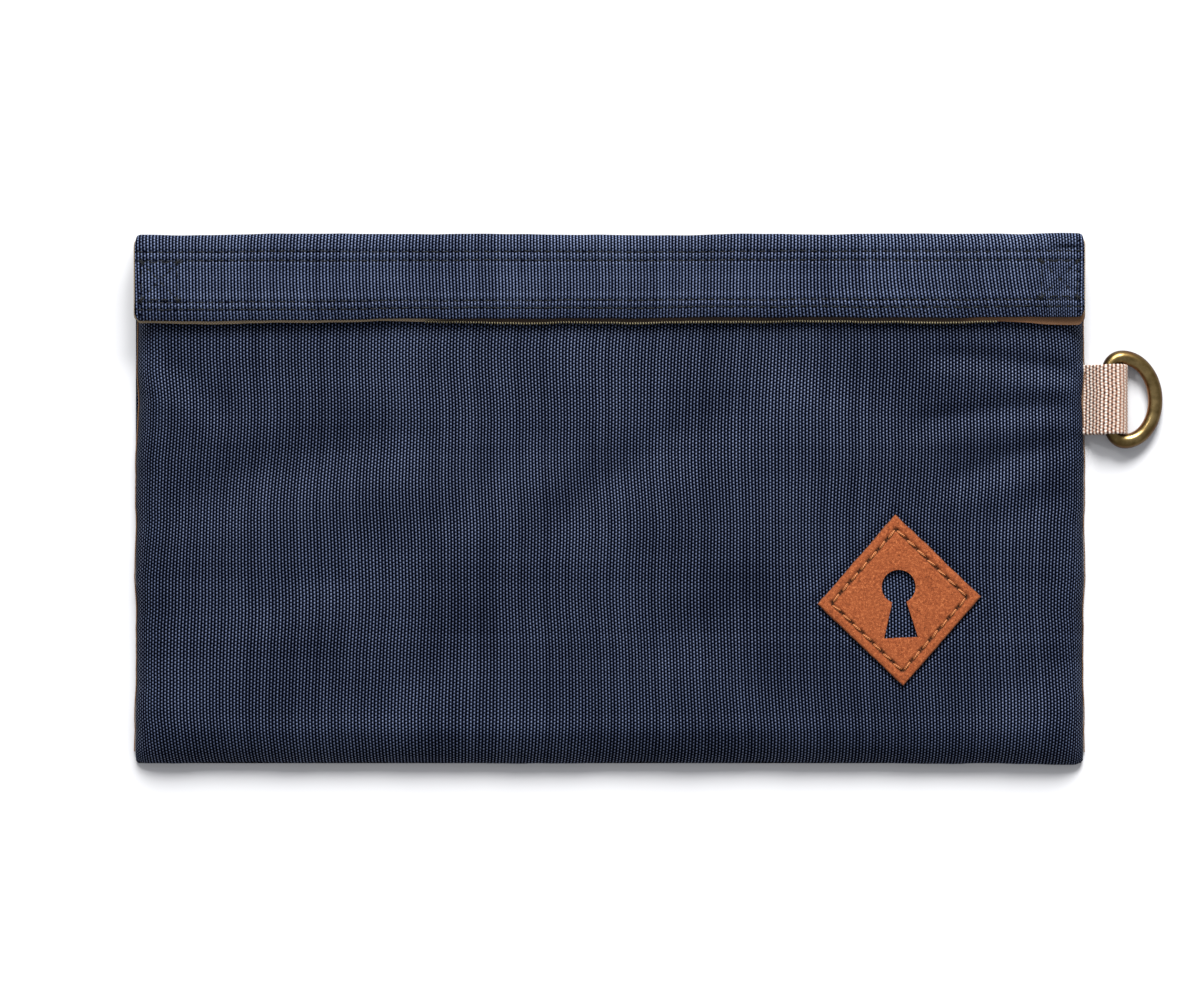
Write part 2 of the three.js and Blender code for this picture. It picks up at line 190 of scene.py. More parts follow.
def add_studio():
    """Light from past the mouth, a small reflector for the ring, a pale sky and a pale floor."""
    add_light("window_past_the_mouth", "SUN", 3.75, (0, 0.79, 0.62), (0, 0, 0), angle=math.radians(30))
    add_light("softbox_past_the_mouth", "AREA", 9.4, (0.22, 0.80, 0.62), (0, 0, 0), size=0.40)
    add_light("reflector_by_the_tab", "AREA", 0.7, (-0.15, 0.36, 0.52), (0.155, 0.03, 0.0), size=0.09)
    world = bpy.data.worlds.new("studio")
    world.use_nodes = True
    sky = world.node_tree.nodes["Background"].inputs
    sky["Color"].default_value = (0.95, 0.96, 1.0, 1)
    sky["Strength"].default_value = 0.52
    bpy.context.scene.world = world
    bpy.context.scene.view_settings.view_transform = "Standard"
    bpy.ops.mesh.primitive_circle_add(
        vertices=96, radius=FLOOR_RADIUS, fill_type="NGON", location=(0, 0, -0.00005)
    )
    floor = bpy.context.object
    floor.name = "floor"
    floor.data.materials.append(pale_floor())


# ---------------------------------------------------------------- building node trees

class Graph:
    """Adds nodes to a shader or geometry tree, taking constants and sockets alike as inputs."""

    def __init__(self, tree):
        self.tree = tree

    def add(self, kind, inputs=None, **settings):
        node = self.tree.nodes.new(kind)
        for key, value in settings.items():
            setattr(node, key, value)
        for key, value in (inputs or {}).items():
            self.feed(node.inputs[key], value)
        return node

    def feed(self, socket, value):
        if isinstance(value, bpy.types.NodeSocket):
            self.tree.links.new(value, socket)
        else:
            socket.default_value = value

    def math(self, operation, *values, clamp=False):
        inputs = dict(enumerate(values))
        return self.add("ShaderNodeMath", inputs, operation=operation, use_clamp=clamp).outputs[0]

    def times(self, value, *factors):
        for factor in factors:
            value = self.math("MULTIPLY", value, factor)
        return value

    def scaled(self, value, factor, offset, clamp=False):
        return self.math("MULTIPLY_ADD", value, factor, offset, clamp=clamp)

    def wave(self, value, kind="COSINE"):
        """A wave that crosses zero once for each whole step of the value."""
        return self.math(kind, self.times(value, math.pi))

    def centred(self, value):
        return self.math("SUBTRACT", value, 0.5)

    def mix(self, share, low, high, blend="MIX"):
        node = self.add("ShaderNodeMix", data_type="RGBA", blend_type=blend)
        for index, value in ((0, share), (6, low), (7, high)):
            self.feed(node.inputs[index], value)
        return node.outputs[2]

    def ramp(self, value, color, *steps):
        """A colour that turns into the next one over each step's span of the value."""
        for low, high, following in steps:
            color = self.mix(self.span(value, low, high), color, following)
        return color

    def span(self, value, low, high, to_low=0.0, to_high=1.0):
        """A smooth step of the value from one range to another."""
        inputs = {"Value": value, "From Min": low, "From Max": high, "To Min": to_low, "To Max": to_high}
        return self.add("ShaderNodeMapRange", inputs, interpolation_type="SMOOTHSTEP").outputs[0]

    def noise(self, vector, scale, detail=2.0, rough=0.5):
        inputs = {"Vector": vector, "Scale": scale, "Detail": detail, "Roughness": rough}
        return self.add("ShaderNodeTexNoise", inputs).outputs["Fac"]

    def stretched(self, vector, scale):
        return self.add("ShaderNodeMapping", {"Vector": vector, "Scale": scale}).outputs[0]

    def bump(self, height, distance, strength=1.0, normal=None):
        inputs = {"Height": height, "Distance": distance, "Strength": strength}
        if normal is not None:
            inputs["Normal"] = normal
        return self.add("ShaderNodeBump", inputs).outputs[0]

    def attribute(self, name):
        return self.add("ShaderNodeAttribute", attribute_name=name).outputs["Fac"]

    def axes(self, vector):
        return self.add("ShaderNodeSeparateXYZ", {"Vector": vector}).outputs

    def vector(self, **axes):
        return self.add("ShaderNodeCombineXYZ", axes).outputs[0]

    def place(self):
        """Place on the object, in metres."""
        return self.add("ShaderNodeTexCoord").outputs["Object"]

    def cloth_place(self):
        """Place on the flat cloth, in metres."""
        return self.add("ShaderNodeUVMap", uv_map="Cloth").outputs[0]


def new_material(name):
    material = bpy.data.materials.new(name)
    material.use_nodes = True
    graph = Graph(material.node_tree)
    return material, graph, material.node_tree.nodes["Principled BSDF"]


def finish_shader(graph, shader, color, roughness, normal=None, **constants):
    graph.feed(shader.inputs["Base Color"], color)
    graph.feed(shader.inputs["Roughness"], roughness)
    if normal is not None:
        graph.feed(shader.inputs["Normal"], normal)
    for key, value in constants.items():
        shader.inputs[key.replace("_", " ")].default_value = value


# ---------------------------------------------------------------- materials

LINING_PITCH = (0.42, 0.36)
SLOW_SKEW = 46  # how much further yarns wander over the whole bag than from one to the next


def pale_floor():
    material, graph, shader = new_material("pale_floor")
    dark, light = (0.63, 0.63, 0.64, 1), (0.66, 0.66, 0.67, 1)
    color = graph.ramp(graph.noise(graph.place(), 3.0), dark, (0.3, 0.7, light))
    finish_shader(graph, shader, color, 0.8)
    return material


def yarn_place(graph, pitch_u, pitch_v, waver):
    """UV in yarn counts across and along, with the small waver and slow skew that real yarns have."""
    uv = graph.cloth_place()
    waves = []
    for vector, scale, detail in ((uv, 180.0, 2.0), (graph.stretched(uv, (6.0, 15.0, 1.0)), 1.0, 1.0)):
        inputs = {"Vector": vector, "Scale": scale, "Detail": detail}
        waves.append(graph.axes(graph.add("ShaderNodeTexNoise", inputs).outputs["Color"]))
    wave, skew = waves
    flat = graph.axes(uv)
    counts = []
    for axis, pitch in (("X", pitch_u), ("Y", pitch_v)):
        drift = graph.times(graph.centred(wave[axis]), waver)
        drift = graph.scaled(graph.centred(skew[axis]), SLOW_SKEW * waver, drift)
        counts.append(graph.scaled(flat[axis], 1 / (pitch * MM), drift))
    return uv, counts[0], counts[1]


def yarn_tone(graph, count, seed, low, high):
    """A random tone for each yarn, between low and high."""
    index = graph.math("FLOOR", graph.math("ADD", count, 0.5 + seed * 1000))
    tone = graph.add("ShaderNodeTexWhiteNoise", {"W": index}, noise_dimensions="1D").outputs["Value"]
    return graph.span(tone, 0.0, 1.0, low, high)


def plain_weave(name, colors, pitch, float_share, depth, gloss, sheen, seams=()):
    """A plain weave: long warp floats in columns, staggered from one column to the next.

    The colours are the pits between the yarns, painted dark as shade, the yarns, and the crowns of the
    floats, painted bright as highlights.
    """
    material, graph, shader = new_material(name)
    pit_shade_color, yarn_color, crown_highlight_color = colors
    uv, across, along = yarn_place(graph, *pitch, 0.22)
    column, row = graph.wave(across), graph.wave(along)
    crown = graph.math("POWER", graph.math("ABSOLUTE", column), 1.6)
    afloat = graph.scaled(graph.times(column, row), 1.1 - float_share, float_share, clamp=True)
    relief = graph.scaled(graph.times(afloat, crown), 0.90, 0.10)
    pit = graph.times(graph.wave(across, "SINE"), row)
    relief = graph.times(relief, graph.span(pit, 0.10, 0.70, 1.0, 0.0))
    fibre = graph.noise(graph.stretched(uv, (9000.0, 1500.0, 1.0)), 1.0, 3.0, 0.7)
    yarns = graph.times(yarn_tone(graph, across, 1, 0.93, 1.06), yarn_tone(graph, along, 2, 0.95, 1.04))
    patchy = graph.span(graph.noise(uv, 28.0, 3.0), 0.25, 0.75, 0.90, 1.10)
    light = graph.times(relief, yarns, graph.span(fibre, 0.2, 0.8, 0.72, 1.2), patchy)
    light = graph.times(light, *(mask(graph, uv) for mask in seams))
    # Painted light: the colour follows the relief, from painted shade in the pits to a painted highlight on
    # the crowns, and the seam masks add painted shade.
    color = graph.ramp(light, pit_shade_color, (0.10, 0.56, yarn_color), (0.42, 1.0, crown_highlight_color))
    normal = graph.bump(graph.scaled(fibre, 0.12, relief), depth * MM, 0.8)
    graph.feed(shader.inputs["Specular IOR Level"], graph.span(light, 0.20, 0.9, 0.0, 0.32))
    roughness = graph.span(light, 0.0, 1.0, 0.85, gloss)
    finish_shader(graph, shader, color, roughness, normal, Sheen_Weight=sheen, Sheen_Roughness=0.5)
    return material


def needle_holes(row_values, along_axis="X", row_axis="Y"):
    """Painted shade along rows of stitching, given in millimetres of cloth: dark needle holes and a darker
    pressed line.
    """

    def mask(graph, uv):
        flat = graph.axes(uv)
        turn = graph.math("FRACT", graph.times(flat[along_axis], 1 / (STITCH * MM)))
        hole_along = graph.span(graph.math("ABSOLUTE", graph.centred(turn)), 0.05, 0.15, 1.0, 0.0)
        shades = []
        for value in row_values:
            off = graph.math("ABSOLUTE", graph.math("SUBTRACT", flat[row_axis], value * MM))
            pressed = graph.span(off, 0.10 * MM, 0.55 * MM, 0.86, 1.0)
            hole = graph.times(graph.span(off, 0.12 * MM, 0.38 * MM, 1.0, 0.0), hole_along)
            # Painted shade: darker along the pressed line and near black at each needle hole.
            shades.append(graph.times(pressed, graph.scaled(hole, -0.7, 1.0)))
        return graph.times(*shades)

    return mask


def navy_nylon(name, tone=1.0, float_share=0.62, seams=()):
    # The last colour is a painted highlight on the crowns of the floats, and the near-black first one is
    # painted shade in the pits.
    yarn = (0.0120 * tone, 0.0165 * tone, 0.036 * tone, 1)
    crown = (0.100 * tone, 0.132 * tone, 0.225 * tone, 1)
    colors = ((0.0004, 0.0005, 0.0012, 1), yarn, crown)
    return plain_weave(name, colors, (WARP_PITCH, WEFT_PITCH), float_share, 0.19, 0.42, 0.0, seams)


def tan_lining(name):
    colors = ((0.045, 0.026, 0.012, 1), (0.13, 0.078, 0.038, 1), (0.24, 0.155, 0.08, 1))
    return plain_weave(name, colors, LINING_PITCH, 0.6, 0.05, 0.45, 0.05)


def pile_ground(name):
    """The dark knitted ground of hook or loop tape."""
    colors = ((0.002, 0.0026, 0.005, 1), (0.008, 0.011, 0.020, 1), (0.028, 0.038, 0.065, 1))
    return plain_weave(name, colors, (0.6, 0.5), 0.5, 0.12, 0.7, 0.15)


def tan_facing(name):
    """The flap's facing: tan lining cloth with a brown edge, painted darkest before the edge widens, as
    painted shade under the flap's edge.
    """
    material, graph, shader = new_material(name)
    uv, across, along = yarn_place(graph, *LINING_PITCH, 0.2)
    weave = graph.scaled(graph.times(graph.wave(across), graph.wave(along)), 0.5, 0.5)
    patchy = graph.noise(uv, 160.0, 3.0)
    tone = graph.times(weave, graph.span(patchy, 0.2, 0.8, 0.7, 1.2))
    tan = graph.mix(tone, (0.15, 0.105, 0.06, 1), (0.46, 0.36, 0.23, 1))
    lit_brown = graph.mix(patchy, (0.085, 0.040, 0.018, 1), (0.21, 0.105, 0.050, 1))
    # Painted shade: the brown edge is painted almost black where it peeks only a little below the flap, and
    # keeps its lit brown where the edge is wider.
    shaded = graph.mix(patchy, (0.016, 0.009, 0.006, 1), (0.055, 0.032, 0.020, 1))
    brown = graph.mix(graph.attribute("widened"), shaded, lit_brown)
    color = graph.mix(graph.attribute("brown"), tan, brown)
    normal = graph.bump(weave, 0.05 * MM, 0.7)
    finish_shader(graph, shader, color, 0.65, normal, Specular_IOR_Level=0.2, Sheen_Weight=0.1)
    return material


def ribbed_tape(name, dark, bright):
    """Grosgrain: a rib across the tape at every weft."""
    material, graph, shader = new_material(name)
    uv, across, _ = yarn_place(graph, 0.78, 0.78, 0.12)
    rib = graph.math("ABSOLUTE", graph.wave(across, "SINE"))
    fibre = graph.noise(graph.stretched(uv, (2500.0, 9000.0, 1.0)), 1.0, 3.0, 0.7)
    color = graph.mix(graph.times(rib, graph.span(fibre, 0.2, 0.8, 0.7, 1.15)), dark, bright)
    finish_shader(graph, shader, color, 0.62, graph.bump(rib, 0.18 * MM, 0.9), Sheen_Weight=0.1)
    return material


def nylon_filament(name, dark, bright, roughness):
    """Navy filament: smooth and clear in the hooks, softer in the loops."""
    material, graph, shader = new_material(name)
    place = graph.place()
    color = graph.ramp(graph.noise(place, 900.0), dark, (0.3, 0.7, bright))
    normal = graph.bump(graph.noise(place, 4000.0), 0.02 * MM, 0.4)
    finish_shader(graph, shader, color, roughness, normal, Sheen_Weight=0.1)
    return material


def webbing_yarn():
    """Thick tan yarn: painted highlights bright on the crowns of the ribs, red-brown down between them,
    partly its own colour and partly painted shade, and painted shade dark in the gaps.
    """
    material, graph, shader = new_material("webbing_yarn")
    fibre = graph.noise(graph.stretched(graph.cloth_place(), (9000.0, 4200.0, 1.0)), 1.0, 4.0, 0.75)
    tone = graph.scaled(graph.centred(fibre), 0.45, graph.attribute("relief"))
    red_brown, brown = (0.090, 0.030, 0.014, 1), (0.26, 0.115, 0.065, 1)
    tan, pale = (0.42, 0.33, 0.27, 1), (0.78, 0.72, 0.66, 1)
    color = graph.ramp(tone, red_brown, (0.04, 0.40, brown), (0.34, 0.66, tan), (0.62, 1.0, pale))
    # Painted shade: near black in the gaps between the yarns.
    color = graph.mix(graph.attribute("gap"), color, (0.014, 0.005, 0.004, 1))
    normal = graph.bump(fibre, 0.06 * MM, 0.7)
    finish_shader(graph, shader, color, 0.7, normal, Sheen_Weight=0.15, Specular_IOR_Level=0.3)
    return material


def antique_brass():
    """Brass plate polished bright where it is handled, with brown lacquer left where it isn't, plus painted
    light: brighter on the top and outer side of the wire, and near black on its underside and inner side as a
    painted dark reflection.
    """
    material, graph, shader = new_material("antique_brass")
    place = graph.place()
    cloud = graph.noise(place, 260.0, 4.0, 0.6)
    brushed = graph.noise(graph.stretched(place, (1.0, 1.0, 6.0)), 1400.0, 3.0, 0.6)
    wear_and_light = graph.scaled(graph.centred(cloud), 0.9, graph.attribute("rubbed"))
    lacquer, dull, bright = (0.085, 0.032, 0.010, 1), (0.120, 0.080, 0.028, 1), (0.40, 0.29, 0.125, 1)
    color = graph.ramp(wear_and_light, lacquer, (0.12, 0.60, dull), (0.5, 1.05, bright))
    # Painted dark reflection: near black where the value is lowest, on the wire's underside and inner side.
    color = graph.mix(graph.span(wear_and_light, -0.05, 0.30), (0.012, 0.007, 0.006, 1), color)
    color = graph.mix(graph.attribute("rim"), color, (0.30, 0.125, 0.038, 1))
    normal = graph.bump(graph.math("ADD", cloud, graph.times(brushed, 0.25)), 0.03 * MM, 0.5)
    roughness = graph.math("ADD", graph.span(wear_and_light, 0.1, 0.9, 0.42, 0.24), graph.times(brushed, 0.08))
    finish_shader(graph, shader, color, roughness, normal, Metallic=1.0)
    return material


def suede():
    """Napped orange-tan leather: mottled, with a short raised nap and darker cut edges."""
    material, graph, shader = new_material("suede")
    place = graph.place()
    nap = graph.noise(place, 3300.0, 4.0, 0.75)
    grain = graph.noise(place, 1300.0, 3.0, 0.6)
    mottle = graph.noise(place, 150.0, 3.0, 0.6)
    tone = graph.math("ADD", graph.times(nap, 0.62), graph.times(grain, 0.38))
    deep, rust, orange = (0.055, 0.012, 0.004, 1), (0.235, 0.055, 0.017, 1), (0.50, 0.165, 0.058, 1)
    color = graph.ramp(tone, deep, (0.34, 0.52, rust), (0.50, 0.66, orange))
    color = graph.mix(graph.span(mottle, 0.3, 0.7, 0.0, 0.30), color, (0.25, 0.068, 0.022, 1))
    color = graph.mix(graph.times(graph.attribute("cut_edge"), 0.85), color, (0.050, 0.020, 0.010, 1))
    # Partly pressed nap and partly painted shade: darker along the stitching groove.
    color = graph.mix(graph.times(graph.attribute("pressed"), 0.45), color, (0.12, 0.032, 0.012, 1))
    # Painted shade: near black in the needle holes.
    color = graph.mix(graph.attribute("needle_hole"), color, (0.012, 0.004, 0.002, 1))
    normal = graph.bump(mottle, 0.12 * MM, 0.6, graph.bump(tone, 0.16 * MM, 0.75))
    finish_shader(
        graph, shader, color, graph.span(tone, 0.0, 1.0, 0.95, 0.8), normal,
        Specular_IOR_Level=0.1, Sheen_Weight=0.10, Sheen_Roughness=0.6, Sheen_Tint=(1.0, 0.6, 0.35, 1),
    )
    return material


def sewing_thread(name, dark, bright):
    """Twisted thread: the plies wind round it, from the attributes that each stitch carries."""
    material, graph, shader = new_material(name)
    turn = graph.scaled(graph.attribute("along"), 2 * math.pi / (0.5 * MM), 0.0)
    wind = graph.scaled(graph.attribute("around"), 4 * math.pi, turn)
    ply = graph.scaled(graph.math("SINE", wind), 0.5, 0.5)
    fuzz = graph.noise(graph.place(), 5200.0, 3.0, 0.7)
    color = graph.ramp(graph.scaled(graph.centred(fuzz), 0.5, ply), dark, (0.1, 0.9, bright))
    finish_shader(graph, shader, color, 0.6, graph.bump(ply, 0.08 * MM, 0.9), Specular_IOR_Level=0.2)
    return material


# ---------------------------------------------------------------- meshes

def grid_faces(rows, columns):
    """Quads of a grid of points stored row by row, facing up when x grows along a row and y with the rows."""
    first = (np.arange(rows - 1)[:, None] * columns + np.arange(columns - 1)).ravel()
    return np.stack([first, first + 1, first + columns + 1, first + columns], 1)


def set_attributes(mesh, attributes):
    """Stores named values, one for each point, for the materials to read."""
    for key, values in attributes.items():
        layer = mesh.attributes.new(key, "FLOAT", "POINT")
        layer.data.foreach_set("value", np.asarray(values, np.float32).ravel())


def mesh_piece(name, points, faces, material, uv=None, smooth=True, **attributes):
    """A piece from points in millimetres. uv holds each point's place on the flat cloth, in millimetres."""
    mesh = bpy.data.meshes.new(name)
    points = np.asarray(points, float).reshape(-1, 3)
    mesh.from_pydata((points * MM).tolist(), [], [list(map(int, face)) for face in faces])
    if uv is not None:
        layer = mesh.uv_layers.new(name="Cloth")
        index = np.zeros(len(mesh.loops), int)
        mesh.loops.foreach_get("vertex_index", index)
        layer.data.foreach_set("uv", (np.asarray(uv, float).reshape(-1, 2) * MM)[index].ravel())
    set_attributes(mesh, attributes)
    mesh.materials.append(material)
    mesh.shade_smooth() if smooth else mesh.shade_flat()
    mesh.validate()
    return linked(name, mesh)


def cloth_piece(name, points, uv, material, turned=False, **attributes):
    """A cloth piece from a grid of points, rows by columns. When turned, its faces look the other way."""
    faces = grid_faces(*points.shape[:2])
    return mesh_piece(name, points, faces[:, ::-1] if turned else faces, material, uv, **attributes)


def guide(name, points, edges=()):
    """Loose points and edges in millimetres, for a node tree to grow on."""
    mesh = bpy.data.meshes.new(name)
    mesh.from_pydata((np.asarray(points, float) * MM).tolist(), list(edges), [])
    return linked(name, mesh)


def plain_mesh(piece, name):
    """The piece with its modifiers applied, as a new object that holds a plain mesh."""
    bpy.context.view_layer.update()
    evaluated = piece.evaluated_get(bpy.context.evaluated_depsgraph_get())
    mesh = bpy.data.meshes.new_from_object(evaluated)
    bpy.data.objects.remove(piece)
    mesh.name = name
    return linked(name, mesh)


def point_places(piece):
    """Where a piece's points lie, in millimetres."""
    places = np.zeros(len(piece.data.vertices) * 3)
    piece.data.vertices.foreach_get("co", places)
    return places.reshape(-1, 3) / MM


def face_outwards(piece, weld=False):
    """Winds the faces outwards. When welding, it first joins points that meet and caps the open ends."""
    shape = bmesh.new()
    shape.from_mesh(piece.data)
    if weld:
        bmesh.ops.remove_doubles(shape, verts=shape.verts, dist=1e-7)
        bmesh.ops.holes_fill(shape, edges=shape.edges, sides=0)
    bmesh.ops.recalc_face_normals(shape, faces=shape.faces)
    shape.to_mesh(piece.data)
    shape.free()


def assign(piece, body, slot, *nodes):
    """Says which body a piece rides on and which nodes it stands for, and hides those nodes. The slot is not
    used.
    """
    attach(piece, body)
    if nodes:
        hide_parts(*nodes)


def roll(arc, radius, height):
    """A quarter-ellipse roll: the distance in from the seam and the share of the rise, at an arc length."""
    angle = np.linspace(0, math.pi / 2, 120)
    inward = radius * (1 - np.cos(angle))
    rise = np.sin(angle)
    steps = np.hypot(np.diff(inward), np.diff(rise) * height)
    length = np.concatenate([[0], np.cumsum(steps)])
    past = np.maximum(arc - length[-1], 0)
    return np.interp(arc, length, inward) + past, np.interp(arc, length, rise)


def roll_length(radius, height):
    """How much cloth a quarter-ellipse roll takes."""
    angle = np.linspace(0, math.pi / 2, 120)
    return float(np.hypot(np.diff(radius * np.cos(angle)), np.diff(height * np.sin(angle))).sum())


# ---------------------------------------------------------------- the front cloth

# Long soft dents in the front: start, end, depth and half-width.
DENTS = (
    ((-132, -4), (-58, 20), 1.70, 8.5),
    ((-48, -10), (-18, 20), 1.00, 7.5),
    ((-18, -8), (44, 30), 1.80, 8.5),
    ((66, 50), (65, 26), 0.60, 3.8),
    ((-106, -34), (-76, -22), 0.80, 7.5),
    ((12, -48), (46, -28), 1.00, 8.5),
    ((-68, -68), (-38, -36), 0.80, 8.0),
    ((94, 42), (139, 37), 1.20, 3.2),
    ((90, 22), (139, 28), 1.30, 3.6),
    ((98, 4), (139, 18), 1.15, 4.2),
    ((112, -8), (139, 2), 0.45, 4.5),
    ((-138, 46), (-110, 22), 0.70, 5.0),
    ((98, -68), (138, -48), 0.80, 8.0),
    ((44, 44), (98, 22), 0.70, 9.0),
)
DENT_DEPTH = 1.25
DENTS_LIMIT = 2.9
RIDGE = 0.45  # height of the ridge beside a dent, as a share of its depth


def dent_depth(x, y):
    """How deep the dents are at a point: each is bowed, with a low ridge beside it."""
    total = np.zeros_like(x)
    for (x0, y0), (x1, y1), depth, half_width in DENTS:
        dx, dy = x1 - x0, y1 - y0
        length = math.hypot(dx, dy)
        along = ((x - x0) * dx + (y - y0) * dy) / length**2
        bow = 0.10 * length * along * (1 - along)
        off = ((x - x0) * dy - (y - y0) * dx) / length + bow
        ends = ease((along + 0.12) / 0.3) * ease((1.12 - along) / 0.3)
        total += depth * bell(off, half_width) * ends
        total -= RIDGE * depth * bell(off - 1.7 * half_width, 1.2 * half_width) * ends
    return np.clip(DENT_DEPTH * total, -DENTS_LIMIT, DENTS_LIMIT)


def patch_axes(x, y):
    """Place on the patch, along its two diagonals."""
    dx, dy = x - PATCH_MIDDLE[0], y - PATCH_MIDDLE[1]
    along = dx * math.cos(PATCH_TURN) + dy * math.sin(PATCH_TURN)
    up = dy * math.cos(PATCH_TURN) - dx * math.sin(PATCH_TURN)
    return along, up


def under_patch(x, y, reach, fade):
    """1 under the patch, fading to 0 at a diamond that many times as large."""
    along, up = patch_axes(x, y)
    return ease((reach - np.abs(along / PATCH_HALF[0]) - np.abs(up / PATCH_HALF[1])) / fade)


PATCH_SLOPE = (-0.030, 0.008)
PATCH_BED = patch_low[2] + 0.2
PATCH_BOW = 2600


def patch_bed(x, y):
    """Height of the cloth under the stiff patch: a gently bowed plane."""
    dx, dy = x - PATCH_MIDDLE[0], y - PATCH_MIDDLE[1]
    return PATCH_BED + PATCH_SLOPE[0] * dx + PATCH_SLOPE[1] * dy - (dx * dx + dy * dy) / PATCH_BOW


def front_height(x, y):
    """Height of the front cloth away from its rolled edges."""
    down = np.clip((FLAP_EDGE - y) / (FLAP_EDGE - BOTTOM), 0, 1)
    swell = np.where(y < FLAP_EDGE, np.sin(math.pi * down), 0)
    height = MOUTH_Z + SWELL * swell * (1 - (x / HALF_WIDTH) ** 2)
    below_flap = ease((LIP - 18 - y) / 12)
    height = height - dent_depth(x, y) * below_flap
    height = height + (0.30 * crumple(x, y, 34, 1) + 0.14 * crumple(x, y, 13, 2)) * below_flap
    stiff = under_patch(x, y, 1.16, 0.16)
    return height * (1 - stiff) + patch_bed(x, y) * stiff


TAB_LIFT = 2.7  # how far the seam is lifted by the webbing that it holds


def front_grid(spacing):
    """Points and UV of the front cloth, from seam to seam and from the bottom seam to inside the mouth."""
    rise = MOUTH_Z - SEAM_Z
    side_arc = roll_length(SIDE_ROLL, rise)
    low_arc = roll_length(BOTTOM_ROLL, rise)
    half_span = side_arc + HALF_WIDTH - SIDE_ROLL
    lip_radius = (MOUTH_Z - hem_low[2]) / 2 + 0.05
    lip_start = low_arc + (LIP - lip_radius) - (BOTTOM + BOTTOM_ROLL)
    inside = math.pi * lip_radius + (hem_high[1] - hem_low[1]) - lip_radius
    columns = int(2 * half_span / spacing) + 1
    rows = int((lip_start + inside) / spacing) + 1
    s, t = np.meshgrid(np.linspace(-half_span, half_span, columns), np.linspace(0, lip_start + inside, rows))
    from_side = half_span - np.abs(s)
    inward_x, lift_x = roll(from_side, SIDE_ROLL, rise)
    inward_y, lift_y = roll(np.minimum(t, lip_start), BOTTOM_ROLL, rise)
    flat_y = BOTTOM + inward_y
    beside_tab = flat_y - TAB_Y

    # The outline: tucked at the seams, cut back at the corners, swaying and leaning a little.
    tuck = 0.25 * fading(from_side, 1.4)
    low_tuck = 0.55 * fading(t, 1.6)
    corner = 2.0 * fading(t, 6) * np.clip(1 - from_side / 7, 0, 1) ** 1.5
    edge_sway = (0.24 * ripple(flat_y / 13, 8) + 0.10 * ripple(flat_y / 4.5, 9)) * ease(1 - from_side / 30)
    low_sway = 0.16 * ripple(s / 21, 10) + 0.08 * ripple(s / 6, 11) - 0.5 * ease((s - 90) / 50)
    low_sway = low_sway * ease(1 - t / 30)
    lean = np.interp(flat_y, [BOTTOM, LIP], [0.0, 1.0]) * (s < 0) * ease(1 - from_side / 40)
    x = np.sign(s) * (HALF_WIDTH - inward_x - tuck - corner)
    x = x + edge_sway * np.sign(s) - 0.05 + lean * 0.9
    y = flat_y + low_tuck + corner + low_sway

    # The height: rolled at the seams, lifted over the webbing, puckered by the stitching.
    z = SEAM_Z + (front_height(x, flat_y) - SEAM_Z) * lift_x * lift_y
    over_tab = ease((WEBBING_HALF + 1.6 - np.abs(beside_tab)) / 2.4) * (s > 0)
    z = z + TAB_LIFT * over_tab * (1 - lift_x)
    tab_pull = np.exp(-from_side / 16) * (s > 0) * bell(beside_tab, 16)
    pucker = np.exp(-from_side / 9) * ripple(flat_y / 5.2, 3) * 0.22
    pucker = pucker + tab_pull * 0.75 * np.cos(beside_tab * 0.48)
    low_pucker = np.exp(-t / 10) * ripple(s / 6.1, 5) * 0.20
    z = z + (pucker * lift_x + low_pucker * lift_y) * ease((lip_start - 8 - t) / 20)

    # The mouth, where the cloth turns in and becomes its own hem.
    turn = np.clip((t - lip_start) / lip_radius, 0, math.pi)
    tucked = np.maximum(t - lip_start - math.pi * lip_radius, 0)
    y = y + lip_radius * np.sin(turn) - tucked
    z = z - lip_radius * (1 - np.cos(turn)) * np.minimum(lift_x * 1.02, 1)
    return np.stack([x, y, z], 2), np.stack([s, t], 2)


# ---------------------------------------------------------------- letting the front cloth settle

SETTLE_SCALE = 10.0  # the cloth is settled ten times life size, where the solver behaves
SETTLE_SPACING = 3.4
SETTLE_FRAMES = 28
SETTLE_LIMIT = 1.3


def settle_weights(points):
    """How firmly each point of the front is held: sewn seams, mouth and stiff patch fully, the rest not."""
    x, y = points[..., 0], points[..., 1]
    side = ease((np.abs(x) - HALF_WIDTH + 9) / 5)
    low = ease((BOTTOM + 10 - y) / 5)
    mouth = ease((y - LIP + 24) / 6)
    return np.clip(np.maximum.reduce([side, low, mouth, under_patch(x, y, 1.25, 0.2)]), 0, 1)


